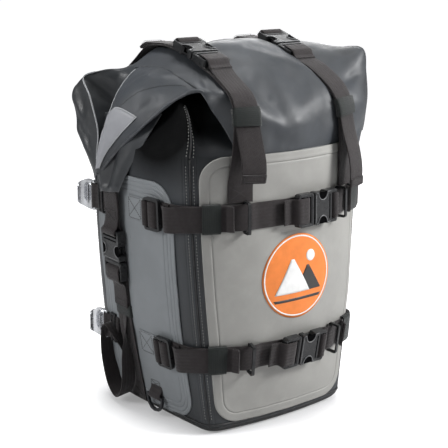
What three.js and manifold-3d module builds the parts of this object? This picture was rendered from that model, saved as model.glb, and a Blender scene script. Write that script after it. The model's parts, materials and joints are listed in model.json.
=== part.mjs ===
// Soft motorcycle saddlebag: a tapered coated-fabric body with a roll-top
// closure, welded overlays, webbing straps with side-release buckles, rack
// hooks and a carry handle. Millimetres, +Z up, -Y is the outward (front) face,
// +Y faces the motorcycle, -X is left. The origin is the centre of the underside.
import * as THREE from 'three';
import { mergeVertices } from 'three/addons/utils/BufferGeometryUtils.js';
import Module from 'manifold-3d';

const wasm = await Module();
wasm.setup();

// ---------- driving dimensions ----------
const BODY_HEIGHT = 409;        // welded body below the collar
const HALF_WIDTH = { base: 128, top: 160 };
const HALF_DEPTH = { base: 131, top: 125 };
const BASE_RADIUS = 14;         // rounding of the bottom edge
const CORNER = 0.085;           // corner rounding, in units of one side
// outward bow of each face, growing from base to top over the height `over`
const BOW = {
  front: { base: 12, top: 38, over: 170 },
  side: { base: 3, top: 12, over: 170 },
  rear: { base: 2, top: 5, over: 150 },
};
const WALL = 3;                 // laminated fabric
const OVERLAY = 1.5;            // welded overlay thickness
const OVERLAY_GAP = 0.8;        // clearance under a welded overlay
const BODY_ROWS = [14, 24, 35, 51, 72, 95, 120, 150, 190, 260, 335]; // shared with the overlays

const WEB = 38;                 // webbing width
const WEB_THICK = 3;            // doubled webbing
const STRAP_INNER = 2.9;        // inner strap face above the body surface
const STRAP_OUTER = STRAP_INNER + WEB_THICK;
const SLOT = WEB / 2 + 0.6;     // half length of a webbing slot

const SIDES = [['left', -1], ['right', 1]];
// compression straps: height, x of the buckle joint, x of the anchor loops
const LEVELS = [
  { level: 'upper', height: 324, buckleX: 22, loopX: 85 },
  { level: 'lower', height: 118, buckleX: 3, loopX: 76 },
];
// top straps: buckle joint, x of the front and rear ends, y shift of the front run
const TOP_STRAPS = {
  left: { joint: [-80, -56, 534.5], frontX: -92, rearX: -95, frontShift: 0 },
  right: { joint: [86, -44, 537.5], frontX: 108, rearX: 98, frontShift: 7 },
};
const TOP_BUCKLE_TILT = 0.31;   // radians, rising to the rear
const SIDE_STRAP_Y = 35;        // centre of the side straps
const SIDE_JOINT_Z = 239;       // joint line of the side buckles
const HOOK_Y = 93;              // hinge line of the rack hooks

// ---------- body surface ----------
const vec = (x, y, z) => new THREE.Vector3(x, y, z);
const clamp = (x, low, high) => Math.min(high, Math.max(low, x));
const smooth = (from, to, x) => {
  const share = clamp((x - from) / (to - from), 0, 1);
  return share * share * (3 - 2 * share);
};

function bodySection(z) {
  const rise = clamp(z / BODY_HEIGHT, 0, 1);
  const drop = BASE_RADIUS - Math.max(z, 0);
  const inset = z < BASE_RADIUS
    ? BASE_RADIUS - Math.sqrt(Math.max(BASE_RADIUS ** 2 - drop ** 2, 0)) : 0;
  const flare = 1 - Math.pow(1 - rise, 1.8);
  const depth = HALF_DEPTH.base + (HALF_DEPTH.top - HALF_DEPTH.base) * rise - inset;
  const bow = ({ base, top, over }) => base + (top - base) * smooth(0, over, z);
  return {
    width: HALF_WIDTH.base + (HALF_WIDTH.top - HALF_WIDTH.base) * flare - inset,
    front: -depth, rear: depth,
    frontBow: bow(BOW.front), sideBow: bow(BOW.side), rearBow: bow(BOW.rear),
    frontZ: z, rearZ: z,
  };
}

// Closed outline with square corners. `lap` runs 0..4: front, right, rear, left.
function outline(lap, section) {
  const wrapped = ((lap % 4) + 4) % 4;
  const face = Math.floor(wrapped);
  const along = 2 * (wrapped - face) - 1;
  const swell = 1 - along * along;
  const { width, front, rear, frontBow, sideBow, rearBow, frontZ, rearZ } = section;
  const yAt = (share) => (front + rear) / 2 + share * (rear - front) / 2;
  const zAt = (share) => frontZ + (rearZ - frontZ) * share;
  if (face === 0) return vec(width * along, front - frontBow * swell, frontZ);
  if (face === 1) return vec(width + sideBow * swell, yAt(along), zAt((along + 1) / 2));
  if (face === 2) return vec(-width * along, rear + rearBow * swell, rearZ);
  return vec(-width - sideBow * swell, yAt(-along), zAt((1 - along) / 2));
}

// the outline with each corner replaced by a quadratic curve
function rounded(lap, section, reach = CORNER) {
  const corner = Math.round(lap);
  const past = lap - corner;
  if (Math.abs(past) >= reach) return outline(lap, section);
  const share = (past + reach) / (2 * reach);
  const [start, middle, end] = [-reach, 0, reach].map((step) => outline(corner + step, section));
  return start.multiplyScalar((1 - share) ** 2)
    .add(middle.multiplyScalar(2 * share * (1 - share)))
    .add(end.multiplyScalar(share ** 2));
}

const bodyPoint = (lap, z) => rounded(lap, bodySection(z));

// point on the body with its tangent along the lap and its outward normal
function bodyFrame(lap, z) {
  const step = 1e-3;
  const tangent = bodyPoint(lap + step, z).sub(bodyPoint(lap - step, z)).normalize();
  const rising = bodyPoint(lap, z + 0.5).sub(bodyPoint(lap, z - 0.5)).normalize();
  return { point: bodyPoint(lap, z), tangent, normal: tangent.clone().cross(rising).normalize() };
}

function offsetPoint(lap, z, offset) {
  const { point, normal } = bodyFrame(lap, z);
  return point.addScaledVector(normal, offset);
}

// lap of a point on the front face, and on the left (-1) or right (1) face
const lapAtX = (x, z) => (x / bodySection(z).width + 1) / 2;
function lapAtY(y, z, sign) {
  const share = y / bodySection(z).rear;
  return sign < 0 ? 3 + (1 - share) / 2 : 1 + (1 + share) / 2;
}
function frontY(x, z) {
  const { front, frontBow, width } = bodySection(z);
  return front - frontBow * (1 - (x / width) ** 2);
}
function rearY(x, z) {
  const { rear, rearBow, width } = bodySection(z);
  return rear + rearBow * (1 - (x / width) ** 2);
}

// ---------- mesh helpers ----------
// indexed geometry, with the winding flipped if the volume comes out negative
function closedGeometry(positions, triangles) {
  const vertex = (index) => vec().fromArray(positions, 3 * index);
  let volume = 0;
  for (let i = 0; i < triangles.length; i += 3) {
    const [first, second, third] = triangles.slice(i, i + 3).map(vertex);
    volume += first.dot(second.cross(third));
  }
  if (volume < 0) {
    for (let i = 0; i < triangles.length; i += 3) {
      [triangles[i + 1], triangles[i + 2]] = [triangles[i + 2], triangles[i + 1]];
    }
  }
  const geometry = new THREE.BufferGeometry();
  geometry.setAttribute('position', new THREE.Float32BufferAttribute(positions, 3));
  geometry.setIndex(triangles);
  geometry.computeVertexNormals();
  return geometry;
}

// closed slab between two grids of points; outer and inner take (column, row)
function slab(columns, rows, outer, inner) {
  const positions = [];
  const triangles = [];
  for (const pointAt of [outer, inner]) {
    for (let j = 0; j <= rows; j++) {
      for (let i = 0; i <= columns; i++) positions.push(...pointAt(i, j).toArray());
    }
  }
  const out = (i, j) => j * (columns + 1) + i;
  const inn = (i, j) => (columns + 1) * (rows + 1) + out(i, j);
  const quad = (k, l, m, n) => triangles.push(k, l, m, k, m, n);
  for (let j = 0; j < rows; j++) {
    for (let i = 0; i < columns; i++) {
      quad(out(i, j), out(i + 1, j), out(i + 1, j + 1), out(i, j + 1));
      quad(inn(i, j), inn(i, j + 1), inn(i + 1, j + 1), inn(i + 1, j));
    }
  }
  for (let i = 0; i < columns; i++) {
    quad(out(i + 1, 0), out(i, 0), inn(i, 0), inn(i + 1, 0));
    quad(out(i, rows), out(i + 1, rows), inn(i + 1, rows), inn(i, rows));
  }
  for (let j = 0; j < rows; j++) {
    quad(out(0, j), out(0, j + 1), inn(0, j + 1), inn(0, j));
    quad(out(columns, j + 1), out(columns, j), inn(columns, j), inn(columns, j + 1));
  }
  return closedGeometry(positions, triangles);
}

// chain of closed rings; capped at both ends, or joined into a ring of rings
function chain(rings, joined = false) {
  const size = rings[0].length;
  const count = rings.length;
  const positions = rings.flat().flatMap((point) => point.toArray());
  const triangles = [];
  const at = (i, j) => (j % count) * size + (i % size);
  for (let j = 0; j < (joined ? count : count - 1); j++) {
    for (let i = 0; i < size; i++) {
      triangles.push(at(i, j), at(i + 1, j), at(i + 1, j + 1));
      triangles.push(at(i, j), at(i + 1, j + 1), at(i, j + 1));
    }
  }
  if (!joined) {
    for (const j of [0, count - 1]) {
      const centre = vec(0, 0, 0);
      rings[j].forEach((point) => centre.addScaledVector(point, 1 / size));
      const hub = positions.length / 3;
      positions.push(...centre.toArray());
      for (let i = 0; i < size; i++) {
        if (j === 0) triangles.push(hub, at(i + 1, j), at(i, j));
        else triangles.push(hub, at(i, j), at(i + 1, j));
      }
    }
  }
  return closedGeometry(positions, triangles);
}

// webbing along stations {point: centre of the inner face, normal, across}
function ribbon(stations, width = WEB) {
  return chain(stations.map(({ point, normal, across }) => {
    const low = point.clone().addScaledVector(across, -width / 2);
    const high = point.clone().addScaledVector(across, width / 2);
    const raised = (edge) => edge.clone().addScaledVector(normal, WEB_THICK);
    return [low, high, raised(high), raised(low)];
  }));
}

// webbing round the body at height z, humped where it passes an anchor loop
function wrappedStrap(startLap, endLap, z, steps, humpLap) {
  const hump = (lap) => 3.9 * Math.exp(-(((lap - humpLap) / 0.05) ** 4));
  const laps = [];
  for (let i = 0; i <= steps; i++) laps.push(startLap + (endLap - startLap) * i / steps);
  for (const step of [-0.07, -0.035, -0.012, 0.012, 0.035, 0.07]) laps.push(humpLap + step);
  for (const corner of [0, 1]) {
    for (const step of [-0.085, -0.045, 0, 0.045, 0.085]) {
      const lap = corner + step;
      if (lap > startLap + 0.01 && lap < endLap - 0.01) laps.push(lap);
    }
  }
  laps.sort((one, other) => one - other);
  const spaced = laps.filter((lap, i) => (
    i === 0 || lap - laps[i - 1] > 0.006 || i === laps.length - 1));
  const [bottom, top] = [z - WEB / 2, z + WEB / 2];
  return chain(spaced.map((lap) => {
    const inner = STRAP_INNER + hump(lap);
    const outer = STRAP_OUTER + hump(lap);
    return [[bottom, inner], [top, inner], [top, outer], [bottom, outer]]
      .map(([height, offset]) => offsetPoint(lap, height, offset));
  }));
}

// flat shape from [x, y] points and holes, extruded along +Z
function toShape(points, holes = []) {
  const toVectors = (list) => list.map(([x, y]) => new THREE.Vector2(x, y));
  const shape = new THREE.Shape(toVectors(points));
  shape.holes = holes.map((hole) => new THREE.Path(toVectors(hole)));
  return shape;
}
const plate = (depth, points, holes) =>
  new THREE.ExtrudeGeometry(toShape(points, holes), { depth, bevelEnabled: false, steps: 1 });

const rect = (x0, y0, x1, y1) => [[x0, y0], [x1, y0], [x1, y1], [x0, y1]];
// rectangle whose corners are cut in two facets
function softRect(x0, y0, x1, y1, cut) {
  const nick = 0.3 * cut;
  return [
    [x0 + cut, y0], [x1 - cut, y0], [x1 - nick, y0 + nick],
    [x1, y0 + cut], [x1, y1 - cut], [x1 - nick, y1 - nick],
    [x1 - cut, y1], [x0 + cut, y1], [x0 + nick, y1 - nick],
    [x0, y1 - cut], [x0, y0 + cut], [x0 + nick, y0 + nick],
  ];
}
// half an outline completed by negating one coordinate (0 = x, 1 = y)
const mirrored = (half, axis) => [
  ...half,
  ...half.filter((point) => point[axis] !== 0).reverse()
    .map((point) => point.map((value, k) => (k === axis ? -value : value))),
];

function block(x0, y0, z0, x1, y1, z1) {
  const geometry = new THREE.BoxGeometry(x1 - x0, y1 - y0, z1 - z0);
  return geometry.translate((x0 + x1) / 2, (y0 + y1) / 2, (z0 + z1) / 2);
}
function toSolid(geometry) {
  geometry.deleteAttribute('normal');
  geometry.deleteAttribute('uv');
  const merged = mergeVertices(geometry, 1e-4);
  return new wasm.Manifold(new wasm.Mesh({
    numProp: 3,
    vertProperties: new Float32Array(merged.attributes.position.array),
    triVerts: new Uint32Array(merged.index.array),
  }));
}
function fromSolid(solid) {
  const mesh = solid.getMesh();
  const geometry = new THREE.BufferGeometry();
  const positions = new Float32Array(mesh.vertProperties);
  geometry.setAttribute('position', new THREE.BufferAttribute(positions, 3));
  geometry.setIndex(new THREE.BufferAttribute(new Uint32Array(mesh.triVerts), 1));
  geometry.computeVertexNormals();
  return geometry;
}
const union = (one, other) => fromSolid(toSolid(one).add(toSolid(other)));
const cutFrom = (body, cutter) => fromSolid(toSolid(body).subtract(toSolid(cutter)));

// placement with local X along, local Z on the normal, Y = Z x X
function placement(origin, along, normal) {
  const x = along.clone().normalize();
  const z = normal.clone().addScaledVector(x, -normal.dot(x)).normalize();
  return new THREE.Matrix4().makeBasis(x, z.clone().cross(x), z).setPosition(origin);
}
// placement on the rear face: local Y up, local Z to the rear
const onRear = (x, y, z) => placement(vec(x, y, z), vec(-1, 0, 0), vec(0, 1, 0));

const MATERIALS = {
  shell: { color: 0x383b3d, roughness: 0.55, metalness: 0 },
  light: { color: 0xa7a6a2, roughness: 0.6, metalness: 0 },
  side: { color: 0x8b9195, roughness: 0.6, metalness: 0 },
  rear: { color: 0x7f8284, roughness: 0.6, metalness: 0 },
  web: { color: 0x3b3637, roughness: 0.9, metalness: 0 },
  plastic: { color: 0x232425, roughness: 0.4, metalness: 0 },
  metal: { color: 0xc9cbcd, roughness: 0.3, metalness: 1 },
  board: { color: 0xe2e2dc, roughness: 0.6, metalness: 0 },
  rubber: { color: 0x232526, roughness: 0.8, metalness: 0 },
  steel: { color: 0x4a4c50, roughness: 0.4, metalness: 1 },
};
const bag = new THREE.Group();
function add(name, geometry, material, matrix) {
  if (matrix) geometry.applyMatrix4(matrix);
  const mesh = new THREE.Mesh(geometry, new THREE.MeshStandardMaterial(MATERIALS[material]));
  mesh.name = name;
  bag.add(mesh);
}

// ---------- body ----------
const everySide = (steps) => [0, 1, 2, 3].flatMap((face) => steps.map((step) => face + step));
const BODY_LAPS = everySide([0, 0.04, 0.085, 0.2, 0.35, 0.5, 0.65, 0.8, 0.915, 0.96]);

function addBody() {
  const ring = (z, inset = 0) => BODY_LAPS.map((lap) => offsetPoint(lap, z, -inset));
  const outerRows = [3.3, 7, ...BODY_ROWS, 372, BODY_HEIGHT];
  const innerRows = [BODY_HEIGHT, 335, 260, 190, 118, 60, 14, 8];
  add('shell', chain([
    ...outerRows.map((z) => ring(z)),
    ...innerRows.map((z) => ring(z, WALL)),
  ]), 'shell');
  add('base_panel', chain([0, 1.2, 3].map((z) => ring(z))), 'rubber');
  const boardY = rearY(0, BODY_HEIGHT) - WALL - 4.3;
  add('back_board', plate(2.5, softRect(-108, 14, 108, 396, 26)), 'board',
    placement(vec(0, boardY, 0), vec(1, 0, 0), vec(0, -1, 0)));
}

// Welded panel with rounded corners on one side of the body. cornerLap and
// cornerZ size the bottom corners; topScale scales them for the top.
function overlay({ laps: [startLap, endLap], bottom, top, cornerLap, cornerZ, columns, topScale }) {
  const topZ = cornerZ * topScale;
  const rows = [
    bottom,
    ...BODY_ROWS.filter((z) => z > bottom + 1 && z < top - topZ - 5),
    ...[1, 0.62, 0.32, 0.12, 0].map((share) => top - share * topZ),
  ];
  const roundIn = (depth) => 1 - Math.sqrt(Math.max(0, 1 - depth * depth));
  const face = (offset) => (i, j) => {
    const z = rows[j];
    const nearBottom = Math.max(0, 1 - (z - bottom) / cornerZ);
    const nearTop = Math.max(0, 1 - (top - z) / topZ);
    const inset = cornerLap * roundIn(nearBottom) + cornerLap * topScale * roundIn(nearTop);
    const lap = startLap + inset + (endLap - startLap - 2 * inset) * (i / columns);
    return offsetPoint(lap, z, offset);
  };
  return slab(columns, rows.length - 1, face(OVERLAY_GAP + OVERLAY), face(OVERLAY_GAP));
}

function addOverlays() {
  const sidePanel = {
    bottom: 14, top: 368, cornerLap: 0.10, cornerZ: 32, columns: 9, topScale: 1.2,
  };
  add('front_panel', overlay({
    laps: [0.052, 0.948], bottom: 16, top: BODY_HEIGHT - 1,
    cornerLap: 0.10, cornerZ: 34, columns: 16, topScale: 1,
  }), 'light');
  add('left_panel', overlay({ laps: [3.10, 3.90], ...sidePanel }), 'side');
  add('right_panel', overlay({ laps: [1.10, 1.90], ...sidePanel }), 'side');
  add('rear_panel', overlay({
    laps: [2.09, 2.91], bottom: 16, top: BODY_HEIGHT - 8,
    cornerLap: 0.07, cornerZ: 30, columns: 9, topScale: 1,
  }), 'rear');
}

// ---------- collar and roll closure ----------
// half width, front y, rear y, front bow, side bow, rear bow, front z, rear z, corner
const COLLAR_LEVELS = [
  [HALF_WIDTH.top, -HALF_DEPTH.top, HALF_DEPTH.top, BOW.front.top, BOW.side.top, BOW.rear.top,
    BODY_HEIGHT + 0.3, BODY_HEIGHT + 0.3, CORNER],
  [157, -128, 124, 36, 5, 6, 440, 440, 0.1],
  [152, -129, 119, 35, -4, 8, 465, 462, 0.12],
  [146, -122, 109, 33, -10, 10, 483, 482, 0.15],
  [140, -98, 91, 27, -16, 11, 502, 503, 0.17],
  [134, -64, 69, 20, -18, 11, 516, 518, 0.19],
  [128, -24, 44, 6, -8, 7, 529, 529, 0.2],
];
const COLLAR_LAPS = everySide([0, 0.05, 0.1, 0.2, 0.35, 0.5, 0.65, 0.8, 0.9, 0.95]);
const COLLAR_WALL = 2.8;
const ROLL = { y: 14, halfDepth: 38, bottom: 529.4, height: 13.5, halfLength: 128 };
const ROLL_CAVITY = { halfDepth: 22, bottom: 532.6, top: 536.8 };

function collarRing(level, inset) {
  const [width, front, rear, frontBow, sideBow, rearBow, frontZ, rearZ, corner] = level;
  const section = {
    width: width - inset, front: front + inset, rear: rear - inset,
    frontBow, sideBow, rearBow, frontZ, rearZ,
  };
  return COLLAR_LAPS.map((lap) => rounded(lap, section, corner));
}

// squared-off oval ring across the roll
function rollRing(x, halfDepth, bottom, top) {
  const count = 20;
  const squared = (value) => Math.sign(value) * Math.pow(Math.abs(value), 0.55);
  return Array.from({ length: count }, (_, i) => {
    const angle = 2 * Math.PI * i / count;
    return vec(x, ROLL.y + halfDepth * squared(Math.cos(angle)),
      (bottom + top) / 2 + (top - bottom) / 2 * squared(Math.sin(angle)));
  });
}

function addClosure() {
  add('collar', chain([
    ...COLLAR_LEVELS.map((level) => collarRing(level, 0)),
    ...COLLAR_LEVELS.toReversed().map((level) => collarRing(level, COLLAR_WALL)),
  ], true), 'shell');
  const stations = [-1, -0.6, -0.2, 0.2, 0.6, 1].map((share) => share * ROLL.halfLength);
  const topAt = (x) => ROLL.bottom + ROLL.height * (1 - 0.25 * (x / ROLL.halfLength) ** 2);
  const { halfDepth, bottom, top } = ROLL_CAVITY;
  add('roll_top', chain([
    ...stations.map((x) => rollRing(x, ROLL.halfDepth, ROLL.bottom, topAt(x))),
    ...stations.toReversed().map((x) => rollRing(x, halfDepth, bottom, top)),
  ], true), 'shell');
  add('roll_stiffener', block(-122, ROLL.y - 17, 533.6, 122, ROLL.y + 17, 535.8), 'board');
}

// folded ends of the closure, down to the webbing tip: x (outward), z, front y, rear y
const EAR_TIP = [[190, 352, 16, 54], [183, 318, 16, 54], [177.8, 288, 16, 54]];
const EAR_ROWS = {
  left: [
    [130, 545, -34, 46], [150, 540, -56, 70], [170, 518, -80, 98],
    [183, 482, -80, 108], [191, 438, -48, 95], [193, 395, -10, 74], ...EAR_TIP,
  ],
  right: [
    [130, 545, -36, 46], [150, 540, -62, 70], [172, 522, -88, 98],
    [186, 486, -100, 108], [192, 440, -72, 95], [193, 395, -22, 74], ...EAR_TIP,
  ],
};
const EAR_THICK = 5.5;

function ear(rows, sign) {
  const columns = 8;
  const last = rows.length - 1;
  const tipStart = rows.length - EAR_TIP.length;
  const outer = (i, j) => {
    const [x, z, front, rear] = rows[j];
    const depth = rear - front;
    const across = 2 * i / columns - 1;
    const bulge = depth * 0.055 * (1 - across * across) - depth * 0.03;
    return vec(sign * (x + (j > 0 ? bulge : 0)), front + depth * i / columns,
      z + (j < 3 ? bulge * 0.5 : 0));
  };
  const outward = (i, j) => {
    const across = outer(Math.min(i + 1, columns), j).sub(outer(Math.max(i - 1, 0), j));
    const down = outer(i, Math.min(j + 1, last)).sub(outer(i, Math.max(j - 1, 0)));
    const normal = across.cross(down).normalize();
    return normal.x * sign < 0 ? normal.negate() : normal;
  };
  const inner = (i, j) =>
    outer(i, j).addScaledVector(outward(i, j), j >= tipStart ? -WEB_THICK : -EAR_THICK);
  return slab(columns, last, outer, inner);
}

// ---------- buckle parts ----------
// Side-release buckle: X = 0 at the joint line, +X into the socket, Z = 0 underside.
function socketGeometry() {
  const outer = mirrored([
    [0.4, -23], [3, -24], [8, -24], [11, -19.5], [20, -19.5], [24, -24], [44, -24], [46, -22],
  ], 1);
  return cutFrom(plate(11.5, outer, [rect(35, -SLOT, 42, SLOT)]),
    block(-2, -20.5, 2.6, 26, 20.5, 8.9));
}
function plugGeometry() {
  const slots = [rect(-27.5, -SLOT, -19, SLOT), rect(-15, -19.1, -7, 19.2)];
  const frame = plate(10, softRect(-31, -24, -0.4, 24, 4), slots);
  const prongs = plate(4.4, mirrored([
    [-3, -16.5], [3, -16.5], [21, -17.2], [23.5, -15], [23.5, -11.5], [4, -10.5], [2, -4], [22, -3],
  ], 1));
  return union(frame, prongs.translate(0, 0, 3.5));
}
function addBuckle(prefix, suffix, matrix) {
  add(`${prefix}_plug_${suffix}`, plugGeometry(), 'plastic', matrix);
  add(`${prefix}_socket_${suffix}`, socketGeometry(), 'plastic', matrix);
}

const LADDER_LENGTH = 32; // along X
function ladderGeometry() {
  return plate(6, softRect(0, -23.5, LADDER_LENGTH, 23.5, 4),
    [rect(4, -SLOT, 13, SLOT), rect(18, -19.1, 28, 19.2)]);
}
// loop the webbing passes through: X off the body, Y up, extruded along the strap
const loopGeometry = () =>
  plate(4.5, softRect(0, -23, 18.6, 23, 3), [rect(2.4, -19.9, 16.4, 19.9)]);

// ---------- compression straps ----------
const WRAP_REACH = 0.30;   // laps each strap runs past the front corner
const LADDER_REACH = 0.25; // laps from the front corner to the ladder lock

function addCompressionStrap({ level, height, buckleX, loopX }) {
  add(`comp_strap_left_${level}`, wrappedStrap(-WRAP_REACH, lapAtX(buckleX - 14, height),
    height, 14, lapAtX(-loopX, height)), 'web');
  add(`comp_strap_right_${level}`, wrappedStrap(lapAtX(buckleX + 32, height), 1 + WRAP_REACH,
    height, 12, lapAtX(loopX, height)), 'web');

  // the buckle lies flat on the tangent a little right of its joint
  const tangentShift = 7;
  const flat = bodyFrame(lapAtX(buckleX + tangentShift, height), height);
  const joint = flat.point.addScaledVector(flat.normal, STRAP_OUTER + 0.6)
    .addScaledVector(flat.tangent, -tangentShift);
  addBuckle('comp', level, placement(joint, flat.tangent, flat.normal));

  for (const [side, sign] of SIDES) {
    const front = bodyFrame(lapAtX(sign * loopX, height), height);
    const foot = front.point.addScaledVector(front.normal, 3.6)
      .addScaledVector(front.tangent, -2.2);
    add(`comp_loop_${side}_${level}`, loopGeometry(), 'plastic',
      placement(foot, front.normal, front.tangent));

    const flank = bodyFrame(sign < 0 ? -LADDER_REACH : 1 + LADDER_REACH, height);
    const end = flank.point.addScaledVector(flank.normal, STRAP_OUTER + 0.9)
      .addScaledVector(flank.tangent, -LADDER_LENGTH / 2);
    add(`ladder_${side}_${level}`, ladderGeometry(), 'plastic',
      placement(end, flank.tangent, flank.normal));
  }
}

// ---------- top straps ----------
// share of the way from buckle x to front x, y, z, share of the front shift
const TOP_FRONT_RUN = [
  [0.25, -114, 509, 0.5], [0.45, -146, 490, 1], [0.6, -160, 468, 1],
  [0.72, -162.5, 440, 1], [0.84, -161, 410, 1],
];
// share of the way from buckle x to rear x, y, z
const TOP_REAR_RUN = [
  [0.8, 132, 440], [0.7, 128, 463], [0.6, 119.5, 485], [0.45, 102.5, 507], [0.35, 81, 524],
  [0.25, 65, 537], [0.2, 53, 545], [0.15, 40, 547], [0.08, 12, 547.4],
];

// evenly spaced ribbon stations on a smooth curve; acrossAt gives the width direction
function curveStations(points, acrossAt) {
  const curve = new THREE.CatmullRomCurve3(points, false, 'centripetal');
  const count = Math.max(8, Math.round(curve.getLength() / 16));
  return Array.from({ length: count + 1 }, (_, i) => {
    const point = curve.getPointAt(i / count);
    const tangent = curve.getTangentAt(i / count);
    const wide = acrossAt(point);
    const across = wide.clone().addScaledVector(tangent, -wide.dot(tangent)).normalize();
    return { point, normal: across.clone().cross(tangent).normalize(), across };
  });
}

function addTopStrap(side, { joint, frontX, rearX, frontShift }) {
  const along = vec(0, Math.cos(TOP_BUCKLE_TILT), Math.sin(TOP_BUCKLE_TILT));
  const normal = vec(0, -Math.sin(TOP_BUCKLE_TILT), Math.cos(TOP_BUCKLE_TILT));
  const origin = vec(...joint);
  addBuckle('top', side, placement(origin, along, normal));

  const nearBuckle = (ahead, above) =>
    origin.clone().addScaledVector(along, ahead).addScaledVector(normal, above);
  const xTowards = (endX, share) => origin.x + (endX - origin.x) * share;
  const onFront = (x, surfaceZ, gap, z) => vec(x, frontY(x, surfaceZ) - gap, z);
  const front = [
    nearBuckle(-14, -4.2),
    nearBuckle(-30, -5.6),
    ...TOP_FRONT_RUN.map(([share, y, z, shiftShare]) =>
      vec(xTowards(frontX, share), y + frontShift * shiftShare, z)),
    onFront(xTowards(frontX, 0.94), 380, 4.4, 380),
    onFront(frontX, 366, 3.4, 364),
    onFront(frontX, 348, 3.4, 347),
  ];
  // the webbing follows the front bow low down and lies square to Y near the buckle
  const acrossFront = ({ x, z }) =>
    vec(-1, -2 * 38 * x / 158 ** 2 * (1 - smooth(440, 530, z)), 0).normalize();
  add(`top_strap_front_${side}`, ribbon(curveStations(front, acrossFront)), 'web');

  const rear = [
    vec(rearX, rearY(rearX, 350) + 4.0, 350),
    vec(rearX, rearY(rearX, 400) + 3.8, 404),
    ...TOP_REAR_RUN.map(([share, y, z]) => vec(xTowards(rearX, share), y, z)),
    nearBuckle(42, -4.3),
    nearBuckle(31, -4.3),
  ];
  add(`top_strap_rear_${side}`, ribbon(curveStations(rear, () => vec(-1, 0, 0))), 'web');
}

// ---------- side straps from the closure ends to the base ----------
function addSideStrap(side, sign) {
  const lapAt = (z) => lapAtY(SIDE_STRAP_Y, z, sign);
  const { point, normal } = bodyFrame(lapAt(SIDE_JOINT_Z), SIDE_JOINT_Z);
  const up = bodyPoint(lapAt(280), 280).sub(bodyPoint(lapAt(205), 205)).normalize();
  addBuckle('side', side,
    placement(point.addScaledVector(normal, STRAP_OUTER + 0.7), up, normal));
  const stations = [24, 50, 80, 110, 140, 165, 190, 212, 226].map((z) => {
    const frame = bodyFrame(lapAt(z), z);
    return {
      point: frame.point.addScaledVector(frame.normal, STRAP_INNER + 0.1),
      normal: frame.normal,
      across: vec(0, 1, 0).addScaledVector(frame.normal, -frame.normal.y).normalize(),
    };
  });
  add(`side_strap_${side}`, ribbon(stations), 'web');
}

// ---------- rack hooks on webbing tabs, rear half of each side ----------
function hookGeometry() { // X away from the hinge edge, Y vertical, Z outward
  const outer = mirrored([[0, -21], [3, -23], [14, -23], [24, -17], [31, -8], [33, 0]], 1);
  const holes = [rect(3.4, -SLOT, 8, SLOT), [[17, -9], [25, -5], [25, 5], [17, 9]]];
  const lip = plate(9, rect(27, -6.5, 33, 6.5)).translate(0, 0, -6.5);
  return union(plate(3, outer, holes), lip);
}

function addHook(side, sign, { level, height }) {
  const laps = [lapAtY(60, height, sign), lapAtY(HOOK_Y - 4, height, sign)];
  const low = Math.min(...laps);
  const high = Math.max(...laps);
  const face = (offset) => (i, j) =>
    offsetPoint(low + (high - low) * (i / 3), height + WEB * (j / 2 - 0.5), offset);
  add(`hook_strap_${side}_${level}`, slab(3, 2, face(STRAP_OUTER), face(STRAP_INNER)), 'web');
  const outward = vec(sign, 0, 0);
  const hinge = bodyPoint(lapAtY(HOOK_Y, height, sign), height).addScaledVector(outward, 7.6);
  add(`hook_${side}_${level}`, hookGeometry(), 'metal', placement(hinge, vec(0, 1, 0), outward));
}

// ---------- D-rings ----------
// hinge bar along X at Y = 0, ring towards -Y, extruded along Z
function dRing(width, height) {
  const holeWidth = width - 4;
  const holeHeight = height - 4;
  const outer = mirrored([
    [-width, 3], [-width, -4], [-width * 0.86, -height * 0.62],
    [-width * 0.5, -height * 0.92], [0, -height],
  ], 0);
  const hole = mirrored([
    [-holeWidth, -1.2], [-holeWidth, -4.5], [-holeWidth * 0.84, -holeHeight * 0.62],
    [-holeWidth * 0.48, -holeHeight * 0.9], [0, -holeHeight],
  ], 0);
  return plate(4, outer, [hole.reverse()]);
}

function addDRings(side, sign) {
  const z = 30;
  const outward = vec(sign, 0, 0);
  const foot = bodyPoint(lapAtY(-18, z, sign), z).addScaledVector(outward, 6.4);
  add(`side_dring_${side}`, dRing(20, 22), 'steel', placement(foot, vec(0, sign, 0), outward));
  const { rearX } = TOP_STRAPS[side];
  add(`rear_dring_${side}`, dRing(22, 25), 'steel', onRear(rearX, rearY(rearX, 340) + 7.4, 339));
}

// ---------- carry handle, rub pad and rack harness on the rear ----------
// centre line of the handle: x, distance behind its ends, z
const HANDLE_PATH = [
  [-64, 0, 340], [-60, 1, 322], [-44, 3, 306], [-18, 4, 299],
  [18, 4, 299], [44, 3, 306], [60, 1, 322], [64, 0, 340],
];
const HANDLE_RADIUS = 8.5;

function addHandle() {
  const endY = rearY(60, 340) + 13;
  const points = HANDLE_PATH.map(([x, behind, z]) => vec(x, endY + behind, z));
  const profile = Array.from({ length: 12 }, (_, i) => {
    const angle = 2 * Math.PI * i / 12;
    return [HANDLE_RADIUS * Math.cos(angle), HANDLE_RADIUS * Math.sin(angle)];
  });
  add('carry_handle', new THREE.ExtrudeGeometry(toShape(profile), {
    steps: 20, bevelEnabled: false, extrudePath: new THREE.CatmullRomCurve3(points),
  }), 'rubber');
}

// pad with a flat rear face, its inner face following the body
function addRubPad() {
  const xAt = (i) => -44 + 88 * (i / 6);
  const zAt = (j) => 38 + 150 * (j / 6);
  const flatY = rearY(0, 110) + 8;
  add('rub_pad', slab(6, 6,
    (i, j) => vec(xAt(i), flatY, zAt(j)),
    (i, j) => vec(xAt(i), rearY(xAt(i), zAt(j)) + 2.8, zAt(j))), 'rubber');
}

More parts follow.
